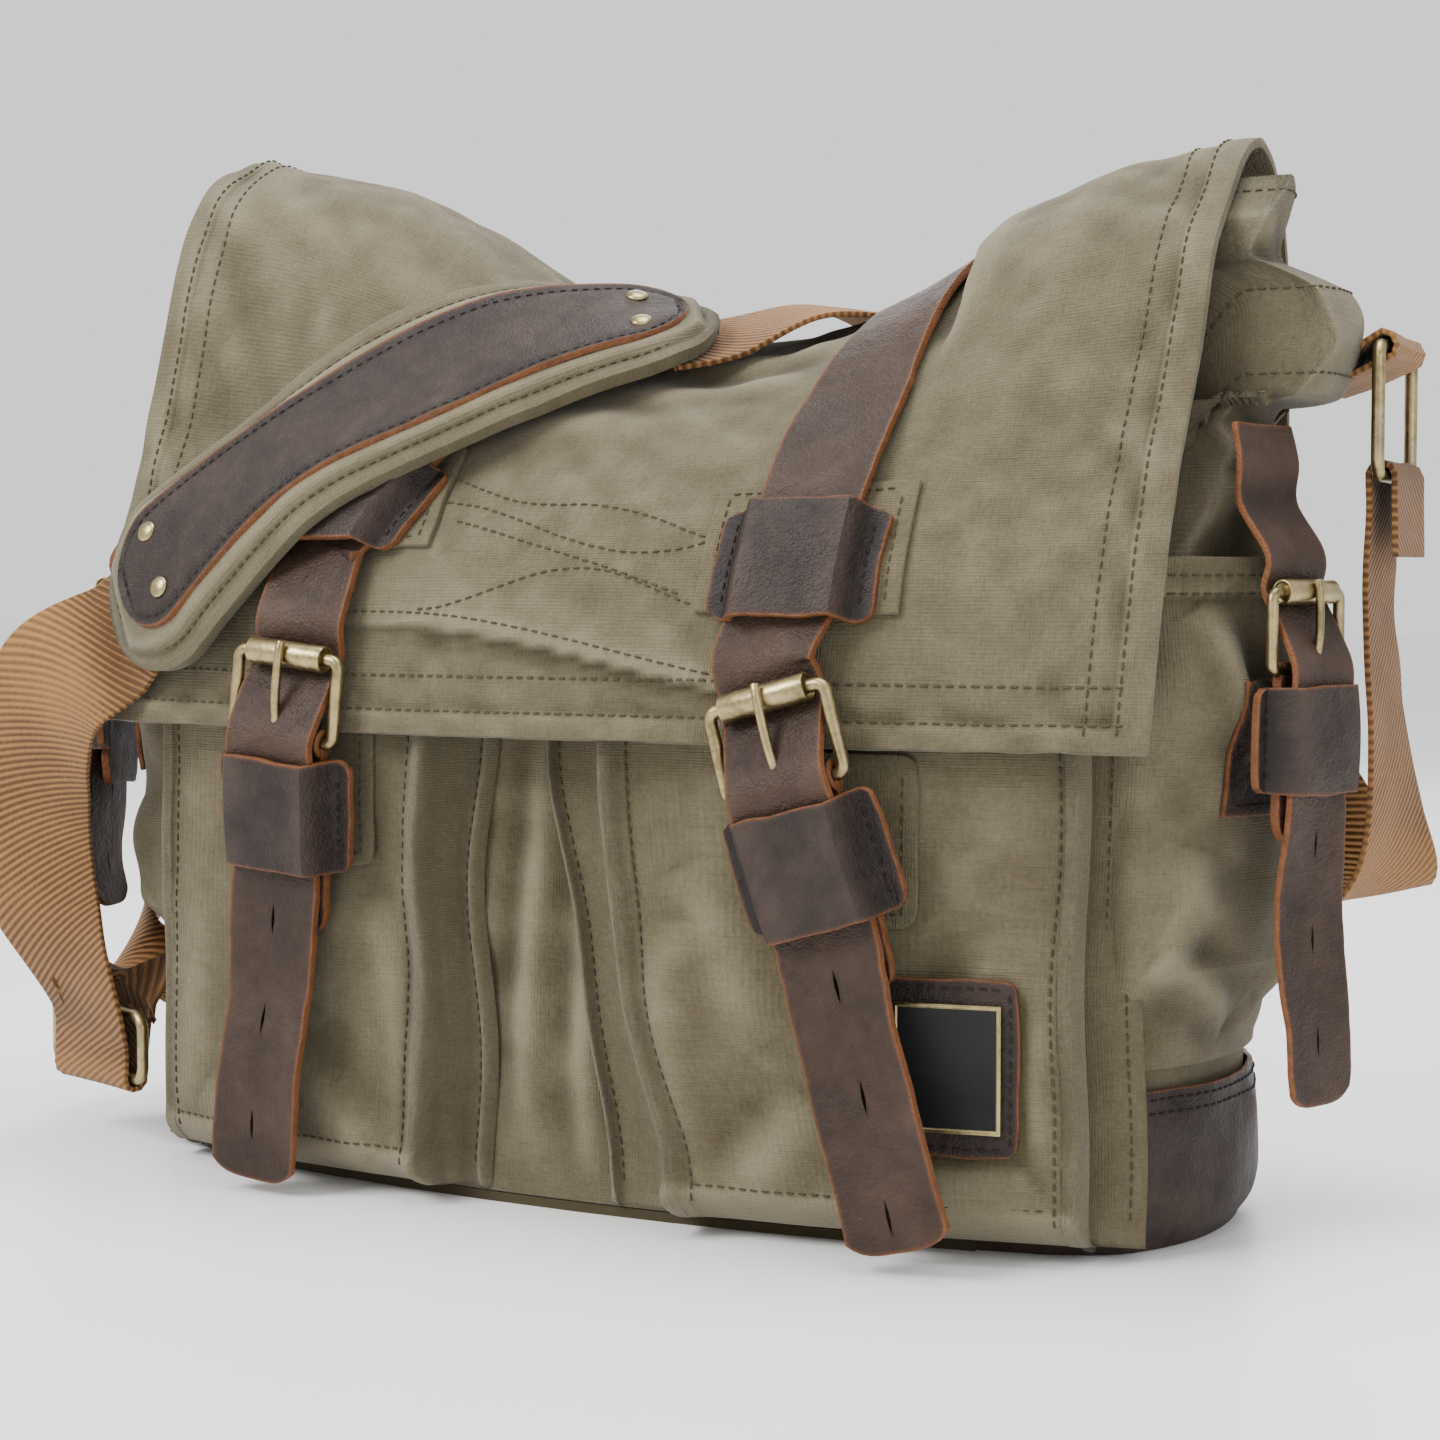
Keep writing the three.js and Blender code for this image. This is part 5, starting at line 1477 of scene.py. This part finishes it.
# ---- rings, slider, shoulder webbing and pad ----
RING_AT = (BODY_HALF_WIDTH + 47, 36.0, SIDE_HEIGHT - 22)
RING_TURN = math.radians(95)
RING_HALF = WEB_WIDTH / 2 + 5
SLIDER_AT = (-(BODY_HALF_WIDTH + 28), -54.0, 24.0)
LOOP_RADIUS = 4.1


def ring_place(side):
    return Place((RING_AT[0] * side, RING_AT[1], RING_AT[2]), 0.0, RING_TURN * side)


def slider_place():
    return Place(SLIDER_AT, 0.0, math.radians(-20))


def round_the_bar(place, v, start, end):
    return [(place.at(0, v + LOOP_RADIUS * math.sin(k), LOOP_RADIUS * math.cos(k)), place.across)
            for k in np.linspace(start, end, 8)]


def rows_at(place, *pairs):
    return [(place.at(0, v, w), place.across) for v, w in pairs]


def free_row(centre, across):
    return np.array(centre, float), np.array(across, float)


def web_piece(name, ribbon, slack=0.0, seed=0, start=0.0, end=None):
    """A length of webbing along a ribbon, from start to end in millimetres along it."""
    end = ribbon.length if end is None else end

    def surface(s, t):
        along = mix(start, end, t)
        side = 2 * s - 1
        free = smooth(np.minimum(along, ribbon.length - along) / (0.12 * ribbon.length))
        wave = slack * np.sin(along / 17 + seed) * free
        return ribbon.at(along, side * WEB_WIDTH / 2,
                         WEBBING / 2 + wave + 0.5 * crumple(along, side * 20, 16, seed))

    piece = cloth_grid(name, surface, 20, int((end - start) / 3))
    thicken(piece, WEBBING * MM, bevel=0.4)
    return piece


class BAG_OT_rings(bpy.types.Operator):
    """Makes the two strap rings, their webbing anchors and the slider"""
    bl_idname = "bag.rings"
    bl_label = "Rings and slider"

    def execute(self, context):
        wire = sizes().wire / MM / 2
        for side in (RIGHT, LEFT):
            name, place = SIDE_NAME[side], ring_place(side)
            line = [place.at(a, v, 0) for a, v in rounded_loop(RING_HALF, -RING_HEIGHT, 0, 5)]
            ring = round_bar(f"{name}_ring_brass", line, wire)
            finish(ring, "brass", f"strap_ring_{name}", f"strap_ring_{name}", sharp=60)
            rows = [*rows_at(place, (-12, -20), (-8.5, -10)),
                    *round_the_bar(place, 0, -0.5 * math.pi, 0.5 * math.pi),
                    *rows_at(place, (-1.5, -9), (-6.5, -19))]
            anchor = web_piece(f"{name}_anchor_webbing", Ribbon(rows))
            finish(anchor, "webbing", "bag", f"anchor_tab_{name}")
        place = slider_place()
        line = [place.at(a, v, 0) for a, v in rounded_loop(RING_HALF, 0, 22, 5)]
        slider = round_bar("slider_brass", line, wire)
        finish(slider, "brass", "bag", "strap_slider", sharp=60)
        return {"FINISHED"}


PAD_RUN = np.array([PAD_END[0] - PAD_START[0], (PAD_END[1] - PAD_START[1]) * STEP_LENGTH])
PAD_LENGTH = float(np.hypot(*PAD_RUN))
PAD_ALONG = PAD_RUN / PAD_LENGTH


def pad_stand(along):
    """How far the pad's underside stands off the flap: most over the left keeper."""
    return 7.0 + 5.5 * bell(along - 60, 42)


def pad_point(along, up, height):
    """A point over the flap in the pad's own lines: along from its start, and up across it."""
    along, up = np.asarray(along, float), np.asarray(up, float)
    x = PAD_START[0] + along * PAD_ALONG[0] - up * PAD_ALONG[1]
    u = PAD_START[1] + (along * PAD_ALONG[1] + up * PAD_ALONG[0]) / STEP_LENGTH
    return over_flap(x, u, np.asarray(height) + pad_stand(along), low=-2)


def pad_sheet(half, height):
    """A round-ended sheet along the pad; height(along, up, inset) is its face."""

    def surface(s, t):
        reach = PAD_LENGTH / 2 + half
        a = -reach * np.cos(np.pi * s) * 0.998
        beyond = np.maximum(np.abs(a) - PAD_LENGTH / 2, 0) / half
        width = half * np.sqrt(np.maximum(1 - beyond ** 2, 0.0004))
        up = (2 * t - 1) * width
        inset = np.minimum(width - np.abs(up), half - half * beyond * 0.999)
        along = PAD_LENGTH / 2 + a
        return pad_point(along, up, height(along, up, inset))

    return surface


class BAG_OT_shoulder_strap(bpy.types.Operator):
    """Makes the shoulder pad with its leather and rivets, and the two lengths of webbing"""
    bl_idname = "bag.shoulder_strap"
    bl_label = "Shoulder strap"

    def execute(self, context):
        self.pad()
        self.left_webbing()
        self.right_webbing()
        return {"FINISHED"}

    def pad(self):
        thick = sizes().pad_thickness / MM

        def face(along, up, inset):
            crown = thick * (0.55 + 0.45 * smooth(inset / 9))
            groove = 1.5 * bell(inset - 5.5, 1.8)
            return crown - groove + 0.6 * crumple(along, up, 14, 151)

        top = pad_sheet(PAD_HALF_WIDTH, face)
        pad = cloth_piece("shoulder_pad_canvas", top, 190, 44, 4.5, "canvas", "flap",
                          "shoulder_pad", 1.2)
        half = PAD_HALF_WIDTH - 11

        def leather_face(along, up, inset):
            return thick + 1.7 - 0.9 * bell(inset - 2.6, 1.3) + 0.35 * crumple(along, up, 12, 152)

        leather = pad_sheet(half, leather_face)
        cloth_piece("pad_leather_patch", leather, 150, 24, 2.0, "trim", "flap", "pad_leather", 0.5)
        self.border("shoulder_pad_stitching", PAD_HALF_WIDTH, 5.5, face, "thread")
        self.border("pad_leather_stitching", half, 2.6, leather_face, "leather_thread")
        for k, (along, up) in enumerate(((-3, 9.5), (-3, -9.5), (PAD_LENGTH + 3, 9.5),
                                         (PAD_LENGTH + 3, -9.5))):
            self.rivet(k + 1, along, up, thick + 1.9)

    def border(self, name, half, inset, face, thread):
        """A stitch row at an even inset round a round-ended sheet."""
        radius = half - inset
        k = np.linspace(0, PAD_LENGTH, 200)
        turn = np.linspace(math.pi / 2, -math.pi / 2, 60)
        along = np.concatenate([k, PAD_LENGTH + radius * np.cos(turn), k[::-1],
                                -radius * np.cos(turn)])
        up = np.concatenate([radius + 0 * k, radius * np.sin(turn), -radius + 0 * k,
                             -radius * np.sin(turn)])
        height = face(along, up, inset + 0 * along)
        base = pad_point(along, up, height + 0.15)
        normal = unit(pad_point(along, up, height + 1) - base)
        sewn(name, [(base, normal)], "flap", thread)

    def rivet(self, number, along, up, height):
        """A domed brass rivet head."""
        deselect()
        bpy.ops.mesh.primitive_uv_sphere_add(segments=24, ring_count=12, radius=1)
        head = new_piece(f"pad_rivet_{number}_brass")
        foot = pad_point(along, up, height)
        out = unit(pad_point(along, up, height + 1) - foot)
        side = unit(np.cross(out, (0, 0, 1)))
        third = np.cross(side, out)
        for corner in head.data.vertices:
            a, b, c = corner.co
            rise = (1.5 if c > 0 else 1.2) * c
            corner.co = Vector((foot + side * a * 3.6 + third * b * 3.6 + out * rise) * MM)
        fix_normals(head)
        finish(head, "brass", "flap", f"pad_rivet_{number}")

    def pad_row(self, along, height):
        across = unit(pad_point(along, -10.0, height) - pad_point(along, 10.0, height))
        return pad_point(along, 0.0, height), across

    def left_webbing(self):
        """From the left ring down through the slider and up to the pad's lower end."""
        ring, slider = ring_place(LEFT), slider_place()
        bar = -RING_HEIGHT
        rows = [
            *rows_at(ring, (bar - 20, LOOP_RADIUS + 0.5), (bar - 6, LOOP_RADIUS)),
            *round_the_bar(ring, bar, 0, math.pi),
            *rows_at(ring, (bar - 10, -LOOP_RADIUS - 1)),
            free_row((-232, 36, 150), (0, -1, 0)),
            free_row((-237, 24, 94), (0.3, -0.95, 0)),
            free_row((-229, -12, 54), (0.75, -0.65, 0)),
            *rows_at(slider, (34, -9), (24, -6), (8, -LOOP_RADIUS)),
            *round_the_bar(slider, 0, math.pi, 2 * math.pi),
            *rows_at(slider, (10, LOOP_RADIUS), (24, LOOP_RADIUS + 2.5)),
            free_row((-213, -72, 86), (0.92, 0.1, -0.2)),
            free_row((-210, -82, 122), (0.88, 0.2, -0.35)),
            free_row((-192, -92, 158), (0.75, 0, -0.65)),
            self.pad_row(-34.0, -1.4), self.pad_row(-16.0, -1.4)]
        self.two_lengths("left", rows, 21, 0.6, 161,
                         (("strap_ring_left", "bag", (-0.23, 0.036, 0.2), (-0.23, 0.036, 0.13)),
                          ("bag", "flap", (-0.21, -0.07, 0.06), (-0.17, -0.09, 0.17))))

    def two_lengths(self, name, rows, cut_row, slack, seed, bends):
        """Webbing in two lengths that meet at a still place."""
        ribbon = Ribbon(rows)
        cut = ribbon.reach(cut_row, len(rows))
        for part, (start, end) in enumerate(((0.0, cut), (cut, ribbon.length))):
            piece = web_piece(f"{name}_webbing_{part + 1}", ribbon, slack=slack, seed=seed,
                              start=start, end=end)
            finish(piece, "webbing", None, f"webbing_{name}")
            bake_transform(piece)

    def right_webbing(self):
        """From the pad's upper end over the ridge, down behind, and up to the right ring."""
        ring, bar = ring_place(RIGHT), -RING_HEIGHT
        rows = [
            self.pad_row(PAD_LENGTH + 10.0, -1.4), self.pad_row(PAD_LENGTH + 30.0, -1.4),
            free_row((44, 26, RIDGE_Z + 10), (0.56, -0.82, -0.1)),
            free_row((84, SEAM_Y + 24, RIDGE_Z - 8), (0.86, -0.4, 0.25)),
            free_row((122, SEAM_Y + 18, 222), (0.86, -0.1, 0.5)),
            free_row((158, SEAM_Y + 22, 158), (0.86, 0.1, 0.5)),
            free_row((190, SEAM_Y + 18, 112), (0.8, 0.5, 0.35)),
            free_row((209, 58, 97), (0.6, 0.8, 0.1)),
            free_row((220, 46, 112), (0.15, 0.99, 0)),
            free_row((222, 38, 150), (-0.05, 1, 0)),
            *rows_at(ring, (bar - 34, -LOOP_RADIUS), (bar - 8, -LOOP_RADIUS)),
            *round_the_bar(ring, bar, math.pi, 0),
            *rows_at(ring, (bar - 8, LOOP_RADIUS), (bar - 24, LOOP_RADIUS + 0.5))]
        self.two_lengths("right", rows, 7, 0.8, 162,
                         (("flap", "bag", (0.06, 0.03, 0.29), (0.13, 0.07, 0.2)),
                          ("bag", "strap_ring_right", (0.222, 0.04, 0.13), (0.222, 0.038, 0.19))))


class BAG_OT_label(bpy.types.Operator):
    """Makes the leather label with its blank bordered plate"""
    bl_idname = "bag.label"
    bl_label = "Label"

    def execute(self, context):
        centre_x, centre_z = LABEL_AT

        def leather(s, t):
            a, v = ragged(s, t, 40, 51, 171, 0.4)
            x = centre_x + a
            return vec(x, front_line(x) - POCKET_DEPTH - 4.0, centre_z + v)

        cloth_piece("label_leather", leather, 30, 36, 2.0, "trim", "bag", "label_patch", 0.5)
        k = np.linspace(0.06, 0.94, 90)
        sewn("label_stitching", [row_on(leather, s, t) for s, t in (
            (0.06, k), (0.94, k), (k, 0.05), (k, 0.95))], "bag", "leather_thread")
        self.plate(centre_x, centre_z)
        return {"FINISHED"}

    def plate(self, centre_x, centre_z):
        """A dark enamelled plate in a raised brass border, left blank."""
        deselect()
        bpy.ops.mesh.primitive_cube_add(size=1)
        plate = new_piece("label_plate_metal")
        for corner in plate.data.vertices:
            a, b, c = corner.co
            corner.co = (a * 31 * MM, b * 1.4 * MM, c * 37 * MM)
        select_faces(plate, lambda face: face.normal.y < -0.9)
        sunk_faces(plate, 1.1, 0.5, 0.25)
        slope = 2 * FRONT_BOW * centre_x / BODY_HALF_WIDTH ** 2
        middle = float(front_line(centre_x)) - POCKET_DEPTH - 4.8
        for corner in plate.data.vertices:
            x, y, z = (v / MM for v in corner.co)
            corner.co = Vector((centre_x + x, middle + y + slope * x, centre_z + z)) * MM
        finish(plate, "brass", "bag", "label_plate", slot="plate")
        plate.data.materials.append(finish_named("plate"))
        for face in plate.data.polygons:
            big = face.area > (24 * MM) * (28 * MM)
            if face.normal.y < -0.5 and big:
                face.material_index = 1


# ---- the stage ----
class BAG_OT_stage(bpy.types.Operator):
    """Makes the camera, the pale floor and the soft lights"""
    bl_idname = "bag.stage"
    bl_label = "Stage"

    def execute(self, context):
        deselect()
        bpy.ops.object.camera_add(location=(0.4411, -0.8070, 0.200),
                                  rotation=(math.radians(86.811), 0, math.radians(28)))
        camera = bpy.context.object
        camera.name = "bag_camera"
        camera.data.lens = 70
        camera.data.sensor_width = 36
        context.scene.camera = camera
        deselect()
        bpy.ops.mesh.primitive_plane_add(size=14)
        floor = new_piece("pale_floor")
        paint = bpy.data.materials.new("pale_paint")
        paint.use_nodes = True
        shader = paint.node_tree.nodes["Principled BSDF"]
        shader.inputs["Base Color"].default_value = (0.92, 0.92, 0.92, 1)
        shader.inputs["Roughness"].default_value = 0.35
        floor.data.materials.append(paint)
        target = Vector((0, -0.02, 0.15))
        for name, place, size, power in (
                ("key_light", (-0.75, -1.35, 1.35), 0.8, 44),
                ("top_light", (0.15, 0.05, 1.6), 0.9, 26),
                ("fill_light", (1.5, -0.9, 0.7), 1.0, 6),
                ("back_light", (-0.5, 1.4, 1.0), 1.0, 10)):
            lamp = bpy.data.lights.new(name, "AREA")
            lamp.size = size
            lamp.energy = power
            light = bpy.data.objects.new(name, lamp)
            bpy.context.collection.objects.link(light)
            light.location = place
            light.rotation_euler = (target - Vector(place)).to_track_quat("-Z", "Y").to_euler()
        world = bpy.data.worlds.new("studio")
        world.use_nodes = True
        world.node_tree.nodes["Background"].inputs["Color"].default_value = (1, 1, 1, 1)
        world.node_tree.nodes["Background"].inputs["Strength"].default_value = 1.15
        context.scene.world = world
        return {"FINISHED"}


STEPS = (BAG_OT_stage, BAG_OT_body, BAG_OT_boots, BAG_OT_pockets, BAG_OT_flap,
         BAG_OT_front_closures, BAG_OT_side_closures, BAG_OT_rings, BAG_OT_shoulder_strap,
         BAG_OT_label)


class BAG_PT_panel(bpy.types.Panel):
    """Lists the bag's settings and the steps that make it"""
    bl_idname = "BAG_PT_panel"
    bl_label = "Messenger bag"
    bl_space_type = "VIEW_3D"
    bl_region_type = "UI"
    bl_category = "Bag"

    def draw(self, context):
        for group in (context.scene.bag_sizes, context.scene.bag_colours):
            box = self.layout.box()
            for title in group.__annotations__:
                box.prop(group, title)
        for step in STEPS:
            self.layout.operator(step.bl_idname)


CLASSES = (BagSizes, BagColours, *STEPS, BAG_PT_panel)


def register():
    for cls in CLASSES:
        bpy.utils.register_class(cls)
    bpy.types.Scene.bag_sizes = PointerProperty(type=BagSizes)
    bpy.types.Scene.bag_colours = PointerProperty(type=BagColours)


def unregister():
    del bpy.types.Scene.bag_colours
    del bpy.types.Scene.bag_sizes
    for cls in reversed(CLASSES):
        bpy.utils.unregister_class(cls)


def main():
    register()
    for step in STEPS:
        family, action = step.bl_idname.split(".")
        getattr(getattr(bpy.ops, family), action)()


if __name__ == "__main__":
    main()
